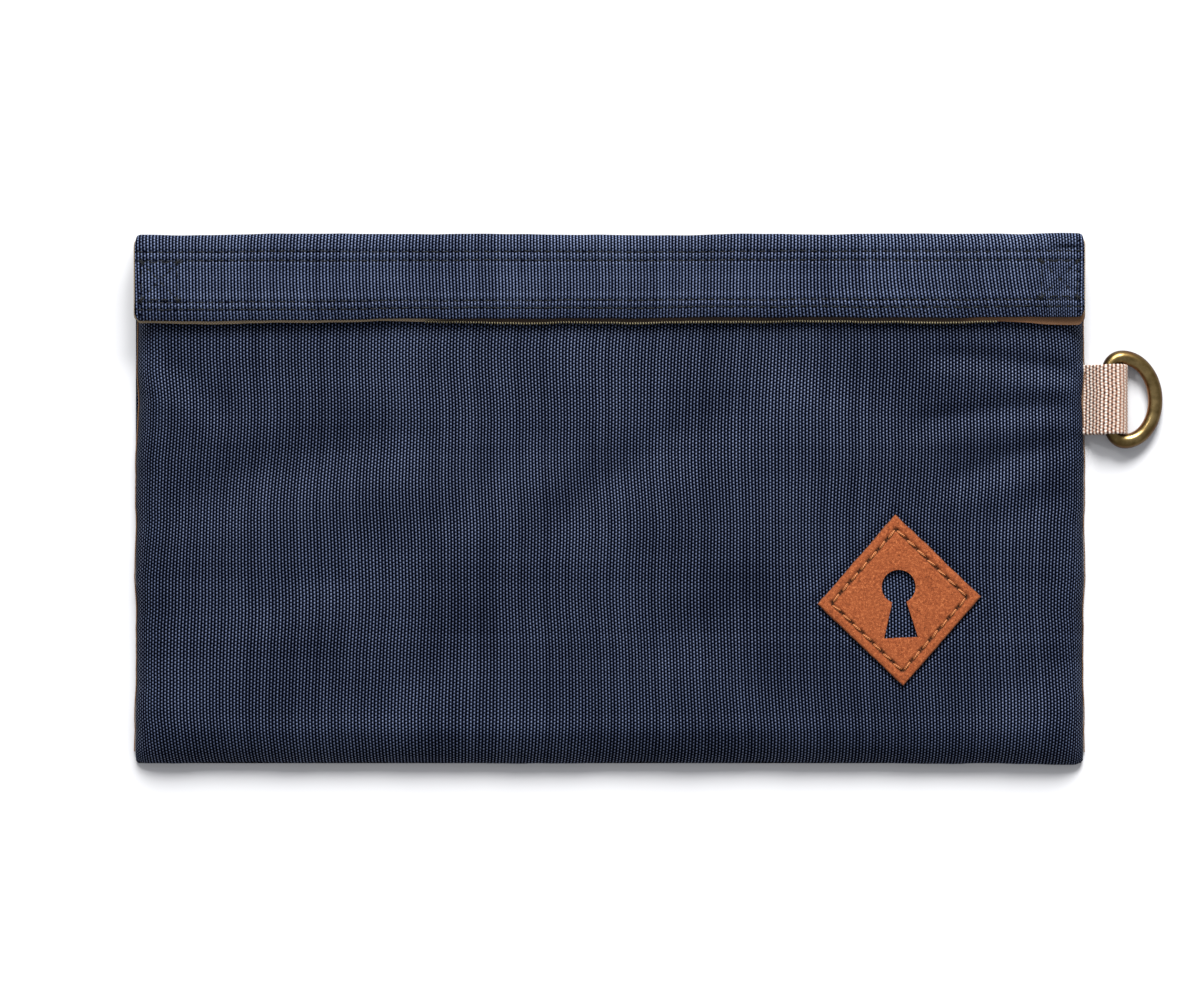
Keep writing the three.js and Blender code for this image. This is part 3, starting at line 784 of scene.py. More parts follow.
def settle_front():
    """Rise and fall of a coarse front cloth after it settles on its lining."""
    points = front_grid(SETTLE_SPACING)[0]
    faces = grid_faces(*points.shape[:2])
    bed = mesh_piece("settling_bed", (points - (0, 0, 0.9)) * SETTLE_SCALE, faces, nylon)
    bed.modifiers.new("Collision", "COLLISION")
    bed.collision.thickness_outer = 0.002
    cloth = mesh_piece("settling_front", points * SETTLE_SCALE, faces, nylon)
    held = cloth.vertex_groups.new(name="held")
    for index, weight in enumerate(settle_weights(points).ravel()):
        held.add([index], float(weight), "REPLACE")
    solver = cloth.modifiers.new("Cloth", "CLOTH")
    for key, value in dict(
        quality=7, mass=0.35, tension_stiffness=18, compression_stiffness=18, shear_stiffness=6,
        bending_stiffness=2.5, vertex_group_mass="held", shrink_min=-0.0035,
    ).items():
        setattr(solver.settings, key, value)
    solver.collision_settings.distance_min = 0.003
    solver.collision_settings.collision_quality = 2
    scene = bpy.context.scene
    for frame_number in range(1, SETTLE_FRAMES + 1):
        scene.frame_set(frame_number)
    settled = cloth.evaluated_get(bpy.context.evaluated_depsgraph_get())
    rise = (point_places(settled).reshape(points.shape) / SETTLE_SCALE - points)[..., 2]
    bpy.data.objects.remove(cloth)
    bpy.data.objects.remove(bed)
    scene.frame_set(1)
    return np.clip(rise, -SETTLE_LIMIT, SETTLE_LIMIT)


def smoothed(field, radius):
    """The field blurred over that radius, in grid steps, along both ways."""
    reach = int(3 * radius)
    weights = np.exp(-0.5 * (np.arange(-reach, reach + 1) / radius) ** 2)
    weights /= weights.sum()
    padded = np.pad(field, reach, mode="edge")
    for axis in (0, 1):
        padded = np.apply_along_axis(lambda line: np.convolve(line, weights, "same"), axis, padded)
    return padded[reach:-reach, reach:-reach]


def resampled(field, rows, columns):
    """The coarse field read at a finer grid, then smoothed so that no facet shows."""
    row = np.linspace(0, field.shape[0] - 1, rows)
    column = np.linspace(0, field.shape[1] - 1, columns)
    along = np.array([np.interp(column, np.arange(field.shape[1]), line) for line in field])
    fine = np.array([np.interp(row, np.arange(field.shape[0]), line) for line in along.T]).T
    return smoothed(fine, 0.7 * rows / field.shape[0])


# ---------------------------------------------------------------- the cloth round the back, fold and flap

FLAT_Z = 0.08  # height of the back cloth above the table
HEM_TURN = 0.5
LINING_INSET = 1.25
SEAM_CURL = 0.92  # how the back cloth curls up to its seams
EDGE_DROOP = 0.9  # how far the flap's free edge hangs below its face


def arc_points(centre, radius, start, end, steps=14):
    angles = np.radians(np.linspace(start, end, steps))
    return [(centre[0] + radius * math.cos(a), centre[1] + radius * math.sin(a)) for a in angles]


def top_corner(z, start):
    return arc_points((TOP - FOLD_CORNER, z), FOLD_CORNER, start, start + 90, 24)


def wrap_profile():
    """Side view, in y and z, of the outer cloth: under the bag, over the top edge, to the flap's hem."""
    path = arc_points((BOTTOM + SEAM_CURL, SEAM_Z), SEAM_CURL, 180, 270)
    path += top_corner(FLAT_Z + FOLD_CORNER, 270) + top_corner(FLAP_TOP - FOLD_CORNER, 0)
    path += arc_points((FLAP_EDGE + HEM_TURN, FLAP_TOP - HEM_TURN), HEM_TURN, 90, 270)
    path += [(FLAP_EDGE + 5, FLAP_TOP - 2 * HEM_TURN)]
    return dense(path)


def facing_profile():
    """Side view of the flap's facing, from the middle of the fold to the flap's edge, before it peeks out."""
    return dense([(TOP, FOLD_MIDDLE)] + top_corner(FLAP_TOP - FOLD_CORNER, 0) + [(FLAP_EDGE, FLAP_TOP)])


def dense(path):
    """A path resampled every 0.1 mm: its arc length, its points and its inward normals."""
    path = np.array(path)
    steps = np.hypot(*np.diff(path, axis=0).T)
    path = path[np.concatenate([[True], steps > 1e-6])]
    length = arc_lengths(path)
    arc = np.arange(0, length[-1], 0.1)
    places = np.stack(read_path(arc, length, path), 1)
    run = np.gradient(places, axis=0)
    run /= np.linalg.norm(run, axis=1)[:, None]
    return arc, places, np.stack([-run[:, 1], run[:, 0]], 1)


WRAP = wrap_profile()
FACING = facing_profile()


def arc_at(y, on_flap):
    """Arc length at which the outer cloth passes y, under the bag or on the flap."""
    arc, places, _ = WRAP
    side = places[:, 1] > FLAP_TOP - 0.02 if on_flap else places[:, 1] < 0.5
    gap = np.where(side, np.abs(places[:, 0] - y), np.inf)
    return arc[int(gap.argmin())]


# Where the outer cloth passes the middle of the fold.
on_fold = np.where(WRAP[1][:, 0] < TOP - 1, np.inf, np.abs(WRAP[1][:, 1] - FOLD_MIDDLE))
FOLD_ARC = WRAP[0][int(on_fold.argmin())]


def edge_line(x):
    """The flap's free edge: a little lower at the left end, and never quite straight."""
    line = np.interp(x, [-140, -60, 20, 140], [52.25, 52.9, 53.35, 53.55])
    return line + 0.10 * ripple(x / 16, 21) + 0.06 * ripple(x / 5, 22)


def top_sway(x):
    """How the bag's top edge strays from straight."""
    return 0.18 * ripple(x / 24, 23) + 0.06 * ripple(x / 7, 24) + 0.6 * ease((x - 120) / 14)


PUCKER = 1.1  # depth of the pucker at the tab's end of the flap
SEWN_LINE = 0.45  # half-width of the dip along a sewn line


def flap_relief(x, y):
    """Rise of the flap's face: pressed along its rows of stitching, puffed between, waved at the ends."""
    rise = 0.34 * crumple(x, y, 26, 4) + 0.16 * crumple(x, y, 9, 5)
    end_pull = ease((np.abs(x) - 118) / 14)
    rise = rise + 0.26 * end_pull * np.cos((np.abs(x) - 0.5 * y) * 0.95) * bell(y - 64, 7)
    for step in range(6):
        dimple = ((x - HALF_WIDTH + 2.6) ** 2 + (y - 58.5 - 2.7 * step) ** 2) / 0.55**2
        rise = rise - 0.75 * np.exp(-dimple)
    for row in FLAP_ROWS:
        off = y - row
        pull = 0.24 + 0.10 * np.cos(2 * math.pi * x / STITCH)
        rise = rise - pull * bell(off, 0.42) * (np.abs(x) < ROW_END + 1)
        rise = rise + 0.10 * bell(np.abs(off) - 1.2, 0.7)
        rise = rise + 0.07 * np.cos(x * 1.4 + 3 * np.sin(x * 0.11)) * bell(off, 2.2)
    in_box = (np.abs(x) > BOX_INNER - 0.4) & (np.abs(x) < BOX_OUTER + 0.4)
    in_box = in_box & (y > BOX_ROWS[0]) & (y < BOX_ROWS[1])
    for line in (BOX_INNER, BOX_OUTER):
        rise = rise - 0.28 * bell(np.abs(x) - line, SEWN_LINE) * in_box
    across = (np.abs(x) - BOX_INNER) / (BOX_OUTER - BOX_INNER)
    upward = (y - BOX_ROWS[0]) / (BOX_ROWS[1] - BOX_ROWS[0])
    for diagonal in (across - upward, across + upward - 1):
        rise = rise - 0.24 * bell(diagonal * 7.4, SEWN_LINE) * in_box
    return rise - PUCKER * np.exp(-(((x - HALF_WIDTH + 5) / 4.2) ** 2) - ((y - TOP + 4.3) / 0.55) ** 2)


def wrap_points(profile, s, arc, half_width, inset, curl, relief=None):
    """Points of a cloth that follows a side-view profile: s across, arc along, inset inwards from it."""
    length, places, normals = profile
    y, z = read_path(arc, length, places)
    ny, nz = read_path(arc, length, normals)
    half_span = np.abs(s).max()
    from_side = half_span - np.abs(s)
    angle = np.clip(from_side / curl, 0, math.pi / 2)
    flat = np.maximum(from_side - curl * math.pi / 2, 0)
    x = np.sign(s) * (half_width - curl * (1 - np.cos(angle)) - flat)
    inward = inset + curl * (1 - np.sin(angle))
    on_flap = ease((z - FOLD_MIDDLE) / (FLAP_TOP - FOLD_MIDDLE - 1))
    lift = 0
    if relief is not None:
        outside = ease(-nz / 0.6)
        lift = relief(x, y) * on_flap * outside * ease(from_side / 1.2) * ease((y - FLAP_EDGE + 0.2) / 1.0)
    y = y + ny * (inward - lift)
    z = z + nz * (inward - lift)
    near_end = fading(from_side, 2.6)
    free_corner = on_flap * near_end * fading(y - FLAP_EDGE, 2.6)
    fold_corner = near_end * ease((y - TOP + 3.5) / 3.5)
    x = x - np.sign(s) * (0.9 * free_corner + 0.35 * fold_corner)
    pulled = on_flap * np.clip((TOP - 3 - y) / (TOP - 3 - FLAP_EDGE), 0, 1)
    sway = top_sway(x) * ease((y - TOP + 9) / 8)
    droop = EDGE_DROOP * on_flap * ease((FLAP_EDGE + 3.8 - y) / 3.8)
    y = y + (edge_line(x) - FLAP_EDGE) * pulled + sway + 1.0 * free_corner - 0.9 * fold_corner
    return x, y, z - droop


def wrap_grid(profile, start, end, half_width, inset, curl, spacing, relief=None, widen=None):
    """Points and UV of a cloth that follows a profile from one arc length to another."""
    span = half_width - curl + curl * math.pi / 2
    columns = int(2 * span / spacing) + 1
    rows = int((end - start) / spacing) + 1
    s, arc = np.meshgrid(np.linspace(-span, span, columns), np.linspace(start, end, rows))
    x, y, z = wrap_points(profile, s, arc, half_width, inset, curl, relief)
    if widen is not None:
        x = x * widen(z)
    return np.stack([x, y, z], 2), np.stack([s, arc], 2)


# ---------------------------------------------------------------- repeated details, as node trees

SHOULDER = 0.36  # how far out a stitch stays high, as a share of its length


def node_tree(name, **kinds):
    """A tree that turns a guide into a mesh. Each kind of input lists the names of its sockets."""
    tree = bpy.data.node_groups.new(name, "GeometryNodeTree")
    tree.is_modifier = True
    for side in ("INPUT", "OUTPUT"):
        tree.interface.new_socket("Geometry", in_out=side, socket_type="NodeSocketGeometry")
    for kind, labels in kinds.items():
        for label in labels.split():
            tree.interface.new_socket(label, in_out="INPUT", socket_type="NodeSocket" + kind)
    graph = Graph(tree)
    return tree, graph, graph.add("NodeGroupInput").outputs


def stored(graph, geometry, name, value):
    inputs = {"Geometry": geometry, "Name": name, "Value": value}
    return graph.add("GeometryNodeStoreNamedAttribute", inputs, data_type="FLOAT", domain="POINT").outputs[0]


def bent_thread(graph, given, steps, start, first_bend, second_bend, end):
    """A round thread along a bend, with its place along and around the thread kept for the shader."""
    inputs = {
        "Resolution": steps, "Start": start, "End": end,
        "Start Handle": first_bend, "End Handle": second_bend,
    }
    bend = graph.add("GeometryNodeCurvePrimitiveBezierSegment", inputs).outputs[0]
    inputs = {"Resolution": given["Sides"], "Radius": given["Radius"]}
    ring = graph.add("GeometryNodeCurvePrimitiveCircle", inputs).outputs[0]
    parameter = graph.add("GeometryNodeSplineParameter").outputs
    line = stored(graph, bend, "along", parameter["Length"])
    around = stored(graph, ring, "around", parameter["Factor"])
    inputs = {"Curve": line, "Profile Curve": around, "Fill Caps": True}
    return graph.add("GeometryNodeCurveToMesh", inputs).outputs[0]


def strays(graph, given):
    """Three random values for each point, from -1 to 1."""
    inputs = {0: (-1, -1, -1), 1: (1, 1, 1), "Seed": given["Seed"]}
    return graph.axes(graph.add("FunctionNodeRandomValue", inputs, data_type="FLOAT_VECTOR").outputs[0])


def laid_on(graph, given, **inputs):
    """Instances on points, turned into one smooth mesh of the given material."""
    laid = graph.add("GeometryNodeInstanceOnPoints", inputs).outputs[0]
    solid = graph.add("GeometryNodeRealizeInstances", {"Geometry": laid}).outputs[0]
    smooth = graph.add("GeometryNodeSetShadeSmooth", {"Geometry": solid}).outputs[0]
    inputs = {"Geometry": smooth, "Material": given["Material"]}
    graph.add("NodeGroupOutput", {"Geometry": graph.add("GeometryNodeSetMaterial", inputs).outputs[0]})


def stitch_tree():
    """A stitch at every pitch along a guide line, each a little bent, turned and scaled at random."""
    tree, graph, given = node_tree(
        "stitch_run", Float="Pitch Length Radius Rise Sink Slant Unevenness", Int="Sides Seed", Vector="Up",
        Material="Material",
    )
    line = graph.add("GeometryNodeMeshToCurve", {"Mesh": given["Geometry"]}).outputs[0]
    inputs = {"Curve": line, "Length": given["Pitch"]}
    places = graph.add("GeometryNodeResampleCurve", inputs, mode="LENGTH").outputs[0]
    tangent = graph.add("GeometryNodeInputTangent").outputs[0]
    inputs = {"Primary Axis": given["Up"], "Secondary Axis": tangent}
    lie = graph.add("FunctionNodeAxesToRotation", inputs, primary_axis="Z", secondary_axis="X").outputs[0]
    stray = strays(graph, given)
    turn = graph.vector(Z=graph.scaled(stray[0], given["Unevenness"], given["Slant"]))
    turn = graph.add("FunctionNodeEulerToRotation", {0: turn}).outputs[0]
    inputs = {"Rotation": lie, "Rotate By": turn}
    lie = graph.add("FunctionNodeRotateRotation", inputs, rotation_space="LOCAL").outputs[0]
    size = graph.scaled(graph.times(stray[1], given["Unevenness"]), 0.6, 1.0)
    low = graph.times(given["Sink"], -1.0)
    half, shoulder = graph.times(given["Length"], 0.5), graph.times(given["Length"], SHOULDER)
    start, end, first_bend, second_bend = [
        graph.vector(X=graph.times(reach, sign), Z=height)
        for reach, height in ((half, low), (shoulder, given["Rise"])) for sign in (-1.0, 1.0)
    ]
    stitch = bent_thread(graph, given, 8, start, first_bend, second_bend, end)
    laid_on(graph, given, Points=places, Instance=stitch, Rotation=lie, Scale=size)
    return tree


def pile_tree():
    """A bent filament at every point of a guide: hooks or loops, turned and tilted at random."""
    tree, graph, given = node_tree(
        "pile_field", Vector="Foot First_bend Second_bend Tip", Float="Radius Turn Tilt",
        Int="Sides Segments Seed", Material="Material",
    )
    ends = (given[label] for label in ("Segments", "Foot", "First_bend", "Second_bend", "Tip"))
    bent = bent_thread(graph, given, *ends)
    stray = strays(graph, given)
    x, y = (graph.times(stray[axis], given["Tilt"]) for axis in (0, 1))
    lean = graph.vector(X=x, Y=y, Z=graph.times(stray[2], given["Turn"]))
    laid_on(graph, given, Points=given["Geometry"], Instance=bent, Rotation=lean)
    return tree


def grown(name, guide, tree, **values):
    """The plain mesh that a node tree makes on a guide, with these values for its inputs."""
    modifier = guide.modifiers.new(tree.name, "NODES")
    modifier.node_group = tree
    sockets = {item.name: item.identifier for item in tree.interface.items_tree if item.in_out == "INPUT"}
    for key, value in values.items():
        modifier[sockets[key]] = value
    return plain_mesh(guide, name)


def sewn(name, lines, thread, pitch=STITCH, length=None, radius=THREAD, rise=0.30, sink=0.28, **options):
    """Stitches along lines given in millimetres."""
    points, edges = [], []
    for line in lines:
        edges += [(i, i + 1) for i in range(len(points), len(points) + len(line) - 1)]
        points += [tuple(point) for point in line]
    values = dict(
        Pitch=pitch * MM, Length=(length or pitch * 0.86) * MM, Radius=radius * MM, Sides=6, Rise=rise * MM,
        Sink=sink * MM, Slant=0.0, Unevenness=0.06, Up=(0.0, 0.0, 1.0), Seed=SEED, Material=thread,
    )
    values.update(options)
    return grown(name, guide(name, points, edges), stitches, **values)


# ---------------------------------------------------------------- making the pieces

GRID = 1.0


LINING_ROWS = 0.915  # share of the front cloth's rows that its lining follows


def offset_inward(points, distance):
    """A grid moved along its own normals, inwards."""
    normal = np.cross(np.gradient(points, axis=1), np.gradient(points, axis=0))
    normal /= np.maximum(np.linalg.norm(normal, axis=2)[..., None], 1e-9)
    return points - normal * distance


def make_front():
    """The front cloth with its turned-in mouth, and the lining that follows it inside."""
    settled = settle_front()
    points, uv = front_grid(GRID)
    points = points + np.array((0, 0, 1)) * resampled(settled, *points.shape[:2])[..., None]
    cloth = cloth_piece("front_cloth", points, uv, nylon)
    assign(cloth, "bag", "navy_nylon", "front_panel", "mouth_hem")
    rows = int(points.shape[0] * LINING_ROWS)
    inner = offset_inward(points, 1.15)[:rows]
    inner[..., 2] = np.maximum(inner[..., 2], FLAT_Z + 0.5)
    lining = cloth_piece("front_pocket_lining", inner[:, ::-1], uv[:rows, ::-1], lining_cloth)
    assign(lining, "bag", "tan_lining", "front_lining")
    make_seam_edges(points)


def make_seam_edges(points):
    """Brown oversewing that just shows along the side seams."""
    lines = []
    for column, side in ((0, -1), (-1, 1)):
        seam = points[:, column] + np.array((side * 0.52, 0, -0.05))
        line = seam[(seam[:, 1] > BOTTOM + 4) & (seam[:, 1] < FLAP_EDGE + 2)]
        lines.append(line[:: max(int(3 / GRID), 1)])
    edge = sewn(
        "side_seam_oversewing", lines, seam_thread, pitch=1.15, length=1.35, radius=0.17, rise=0.1, sink=0.1,
    )
    assign(edge, "bag", "tan_thread")


def hem_width(z):
    """The flap is a little wider than the bag below the fold."""
    return 1.0 - 0.0015 * ease((FLAP_TOP - 2 - z) / 4)


def make_wrap():
    """Back cloth and flap cloth, which meet halfway up the fold."""
    back, uv = wrap_grid(WRAP, 0, FOLD_ARC, HALF_WIDTH, 0, SEAM_CURL, GRID * 1.2)
    cloth = cloth_piece("back_cloth", back, uv, nylon, turned=True)
    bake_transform(cloth)
    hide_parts("back_panel")
    width, fine = flap_high[0] - 0.6, GRID * 0.42
    flap, uv = wrap_grid(WRAP, FOLD_ARC, WRAP[0][-1], width, 0, 0.9, fine, flap_relief, hem_width)
    right = flap[..., 0]
    yarn_lean = 0.15 * ease((right - 20) / 80) * ease((HALF_WIDTH - 1 - right) / 14)
    uv[..., 0] -= yarn_lean * (uv[..., 1] - FOLD_ARC)
    cloth = cloth_piece("flap_cloth", flap, uv, flap_nylon, turned=True)
    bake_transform(cloth)
    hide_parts("flap_panel", "fold_panel")


def make_back_lining():
    """The lining of the back, from above the bottom seam to the middle of the fold."""
    start = arc_at(lining_low[1], False)
    points, uv = wrap_grid(WRAP, start, FOLD_ARC, lining_high[0] + 0.3, LINING_INSET, 0.4, GRID * 1.4)
    lining = cloth_piece("back_pocket_lining", points, uv, lining_cloth)
    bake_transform(lining)
    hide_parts("back_lining", "fold_lining")


WIDENS_FROM = 112.0  # where the facing's edge widens towards the tab's end
BROWN_FROM = -58


def peek(x):
    """How far the facing shows below the flap's edge."""
    right = ease((x - WIDENS_FROM) / 26)
    return 0.66 + 0.10 * ripple(x / 11, 31) + 0.60 * ease((x + 50) / 20) + 1.15 * right


def make_facing():
    """The flap's tan facing, from the middle of the fold to just past the flap's edge."""
    end, width = FACING[0][-1], facing_high[0] - 0.1
    points, uv = wrap_grid(FACING, 0, end, width, LINING_INSET, 0.25, GRID * 0.8)
    x, y, z = points[..., 0], points[..., 1], points[..., 2]
    narrow = 1 - (0.0165 * ease((FLAP_TOP - 3 - z) / 5))
    near_edge = ease((FLAP_EDGE + 10 - y) / 9)
    y = y - near_edge * peek(x)
    z = z - near_edge * (0.36 + 0.3 * ease((x - WIDENS_FROM) / 30) - 0.08 * crumple(x, y, 12, 6))
    points = np.stack([x * narrow, y, z], 2)
    brown = ease((FLAP_EDGE + 3 - y) / 2) * ease((x - BROWN_FROM) / 14)
    # Where the brown edge is shown in light; elsewhere it takes painted shade.
    widened = ease((x - WIDENS_FROM + 12) / 12)
    facing = cloth_piece("flap_facing_cloth", points, uv, facing_cloth, brown=brown, widened=widened)
    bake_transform(facing)
    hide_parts("flap_facing")
    pitch, height = 0.78, 11.95 - EDGE_DROOP
    x = np.arange(-54.0, WIDENS_FROM + 2, pitch)
    edge = np.stack([x, edge_line(x) - peek(x) + 0.02, np.full_like(x, height)], 1)
    oversewn = sewn(
        "facing_edge_oversewing", [edge], gold_thread, pitch=pitch, length=0.52, radius=0.22, rise=0.20,
        sink=0.14, Slant=math.radians(84), Unevenness=0.10,
    )
    assign(oversewn, "flap", "tan_thread")


# ---------------------------------------------------------------- closure tapes and bindings

TAPE_THICK = 0.5


def tape_ground(node, low, high, face_z, up, body):
    """The woven ground of a closure tape: a thin slab with soft edges, facing up or down."""
    width, depth = high[0] - low[0], high[1] - low[1]
    s, t = np.meshgrid(np.linspace(0, width, int(width / 1.4)), np.linspace(0, depth, int(depth / 0.7)))
    edge = np.minimum(np.minimum(s, width - s), np.minimum(t, depth - t))
    rounding = np.sqrt(np.clip(1 - (1 - np.clip(edge / 0.5, 0, 1)) ** 2, 0, 1))
    drop = TAPE_THICK * (1 - rounding)
    z = face_z - up * drop + up * 0.05 * crumple(s, t, 8, 9)
    uv = np.stack([s, t], 2)
    points = np.stack([low[0] + s, low[1] + t, z], 2)
    piece = cloth_piece(node + "_ground", points, uv, ground, turned=up < 0)
    assign(piece, body, "hook_and_loop", node)


def pile_guide(name, low, high, z, pitch, seed):
    """Guide points in staggered rows, each moved a little at random."""
    stray = np.random.default_rng(seed)
    columns = int((high[0] - low[0] - 2.4) / pitch)
    rows = int((high[1] - low[1] - 2.4) / pitch)
    x, y = np.meshgrid(np.arange(columns) * pitch, np.arange(rows) * pitch)
    x = x + (np.arange(rows)[:, None] % 2) * pitch / 2
    x = x - x.mean() + (low[0] + high[0]) / 2
    y = y - y.mean() + (low[1] + high[1]) / 2
    points = np.stack([x, y, np.full_like(x, z)], 2).reshape(-1, 3)
    points[:, :2] += stray.uniform(-0.16, 0.16, (len(points), 2)) * pitch
    return guide(name, points)


def make_closure():
    """Loop tape on the front, hook tape under the flap, and the stitching of the loop tape."""
    sparse = 1.0
    face = loop_low[2] + 0.35
    tape_ground("loop_tape", loop_low, loop_high, face, 1, "bag")
    loops = grown(
        "loop_pile", pile_guide("loop_pile", loop_low, loop_high, face - 0.02, 1.12 * sparse, 3), pile,
        Foot=(-0.0003, 0, 0), First_bend=(-0.0009, 0.0001, 0.0009), Second_bend=(0.0009, -0.0001, 0.0009),
        Tip=(0.0003, 0, 0), Radius=0.055 * MM, Sides=3, Segments=6, Turn=3.1, Tilt=0.45, Seed=SEED,
        Material=loop_yarn,
    )
    assign(loops, "bag", "hook_and_loop")
    hook_face = hook_high[2] - 0.35
    tape_ground("hook_tape", hook_low, hook_high, hook_face, -1, "flap")
    hooks = grown(
        "hook_rows", pile_guide("hook_rows", hook_low, hook_high, hook_face + 0.02, 1.3 * sparse, 4), pile,
        Foot=(0, 0, 0), First_bend=(0, 0, -0.00085), Second_bend=(0.0005, 0, -0.00085),
        Tip=(0.00046, 0, -0.00036), Radius=0.095 * MM, Sides=4, Segments=5, Turn=0.35, Tilt=0.08, Seed=SEED,
        Material=filament,
    )
    assign(hooks, "flap", "hook_and_loop")
    names = ["loop_tape_" + row + "_stitching" for row in ("upper", "lower")]
    lines = [[(x, corners(name)[0][1] + 0.2, face + 0.03) for x in (-ROW_REACH, ROW_REACH)] for name in names]
    assign(sewn("loop_tape_stitches", lines, navy_thread, rise=0.35), "bag", "navy_thread", *names)


def squared(value):
    """A sine or cosine pushed outwards, so that a circle becomes a soft box."""
    return np.sign(value) * np.abs(value) ** 0.45


def binding_strip(name, seed):
    """Binding folded over a raw seam edge: a soft flattened fold of ribbed tape. Returns its seam line."""
    low, high = corners(name)
    axis = 0 if high[0] - low[0] > high[1] - low[1] else 1
    length = high[axis] - low[axis]
    width = (high - low)[1 - axis]
    height = high[2] - low[2]
    angle, run = np.meshgrid(np.linspace(0, 2 * math.pi, 41), np.linspace(0, length, int(length / 1.5)))
    across = width / 2 * squared(np.cos(angle)) + 0.12 * ripple(run / 7, 41 + seed)
    z = (low[2] + high[2]) / 2 + height / 2 * squared(np.sin(angle)) + 0.05 * ripple(run / 4, 45 + seed)
    middle = (low[1 - axis] + high[1 - axis]) / 2
    place = [low[axis] + run, middle + across]
    x, y = place if axis == 0 else place[::-1]
    uv = np.stack([run, angle * width / math.pi], 2)
    piece = cloth_piece(name + "_tape", np.stack([x, y, z], 2), uv, binding_tape, turned=axis == 0)
    assign(piece, "bag", "tan_binding", name)
    ends = [low[axis] + 1, high[axis] - 1]
    return [(end, middle, high[2]) if axis == 0 else (middle, end, high[2]) for end in ends]


def make_bindings():
    """The three bound seams inside, and the stitching of the seams and of the mouth's hem."""
    sides = ("left", "right", "bottom")
    lines = [binding_strip(side + "_seam_binding", index) for index, side in enumerate(sides)]
    rows = sewn("seam_stitches", lines, navy_thread, rise=0.3)
    assign(rows, "bag", "navy_thread", *(side + "_seam_stitching" for side in sides))
    low, high = corners("hem_stitching")
    line = [(x, (low[1] + high[1]) / 2, hem_low[2] + 0.06) for x in (-ROW_REACH, ROW_REACH)]
    rows = sewn("hem_stitches", [line], navy_thread, Up=(0.0, 0.0, -1.0))
    assign(rows, "bag", "navy_thread", "hem_stitching")


# ---------------------------------------------------------------- topstitching of the flap

def on_flap(x, y):
    """A point on the flap's face, on top of its relief."""
    x, y = np.asarray(x, float), np.asarray(y, float)
    pulled = np.clip((TOP - 3 - y) / (TOP - 3 - FLAP_EDGE), 0, 1)
    z = FLAP_TOP + flap_relief(x, y) + 0.02
    shifted = y + (edge_line(x) - FLAP_EDGE) * pulled + top_sway(x) * ease((y - TOP + 9) / 8)
    return np.stack([x, shifted, z], -1)


def straight_run(start, end, wander, seed):
    """Points along a sewn line on the flap that wanders a little off straight."""
    start, end = np.array(start, float), np.array(end, float)
    length = np.linalg.norm(end - start)
    share = np.linspace(0, 1, max(int(length / 1.5), 3))[:, None]
    place = start + (end - start) * share
    across = np.array((start[1] - end[1], end[0] - start[0])) / length
    fade = np.minimum(share, 1 - share).clip(0, 0.02) / 0.02
    place = place + across * wander * fade * ripple(share * length / 13, seed)
    return on_flap(place[:, 0], place[:, 1])


def make_flap_stitching():
    """Four rows along the flap, and a crossed box at each end."""
    lines = [straight_run((-ROW_END, y), (ROW_END, y), 0.10, 50 + i) for i, y in enumerate(FLAP_ROWS)]
    low, high = BOX_ROWS
    for side in (-1, 1):
        inner, outer = side * BOX_INNER, side * BOX_OUTER
        a, b, c, d = (inner, low), (outer, low), (outer, high), (inner, high)
        box = ((a, b), (b, c), (c, d), (d, a), (a, c), (d, b))
        lines += [straight_run(start, end, 0.08, 60 + i) for i, (start, end) in enumerate(box)]
    rows = sewn(
        "flap_topstitching", lines, topstitch_thread, pitch=STITCH, length=2.6, radius=0.15, rise=0.24,
        Unevenness=0.09,
    )
    boxes = ("left_end_box_stitching", "right_end_box_stitching")
    assign(rows, "flap", "navy_thread", *FLAP_ROW_NAMES, *boxes)


# ---------------------------------------------------------------- webbing tab

WEBBING = 1.15  # thickness
WEBBING_SINK = 1.9  # how far it dips where it goes into the seam
RIB = 1.14  # from one rib of the webbing to the next
BEAD = 0.90  # from one yarn crossing to the next along a rib
BAR = np.array((HALF_WIDTH + 7.9, TAB_Y, (tab_low[2] + tab_high[2]) / 2))
ANCHOR_X = HALF_WIDTH - 8.0
WEBBING_LEVEL = 0.68  # how far each end lies from the middle of the seam
WEBBING_GRID = 0.17


def bezier(points, steps=24):
    """Points along a cubic curve."""
    share = np.linspace(0, 1, steps)[:, None]
    a, b, c, d = (np.array(point, float) for point in points)
    rest = 1 - share
    return (rest**3 * a + 3 * rest**2 * share * b + 3 * rest * share**2 * c + share**3 * d).tolist()


def webbing_path():
    """Middle line of the webbing in x and z: out of the seam, round the ring's bar, and back."""
    flat, reach = WEBBING_LEVEL, 3.4
    bend, far = BAR[0] - 1, HALF_WIDTH + 9.0
    start = HALF_WIDTH + 0.4
    rise = bezier(((start, flat), (start + 2.6, flat), (bend - 2.5, reach), (bend, reach)))
    out = [(ANCHOR_X, flat)] + rise
    back = [(x, -z) for x, z in out[::-1]]
    return dense(out + arc_points((far, 0), reach, 90, -90, 30) + back)


def webbing_section():
    """The webbing's outline in section: place across its width, -1 to 1, and which face it is on."""
    count = int(2 * WEBBING_HALF / WEBBING_GRID)
    outline = [(q, 1.0) for q in np.linspace(-1, 1, count)]
    for side, start in ((1, 90), (-1, -90)):
        for angle in np.radians(np.linspace(start, start - 180, 8)[1:-1]):
            outline.append((side + math.cos(angle) * 0.055, math.sin(angle)))
        if side == 1:
            outline += [(q, -1.0) for q in np.linspace(1, -1, count // 2)]
    return np.array(outline)


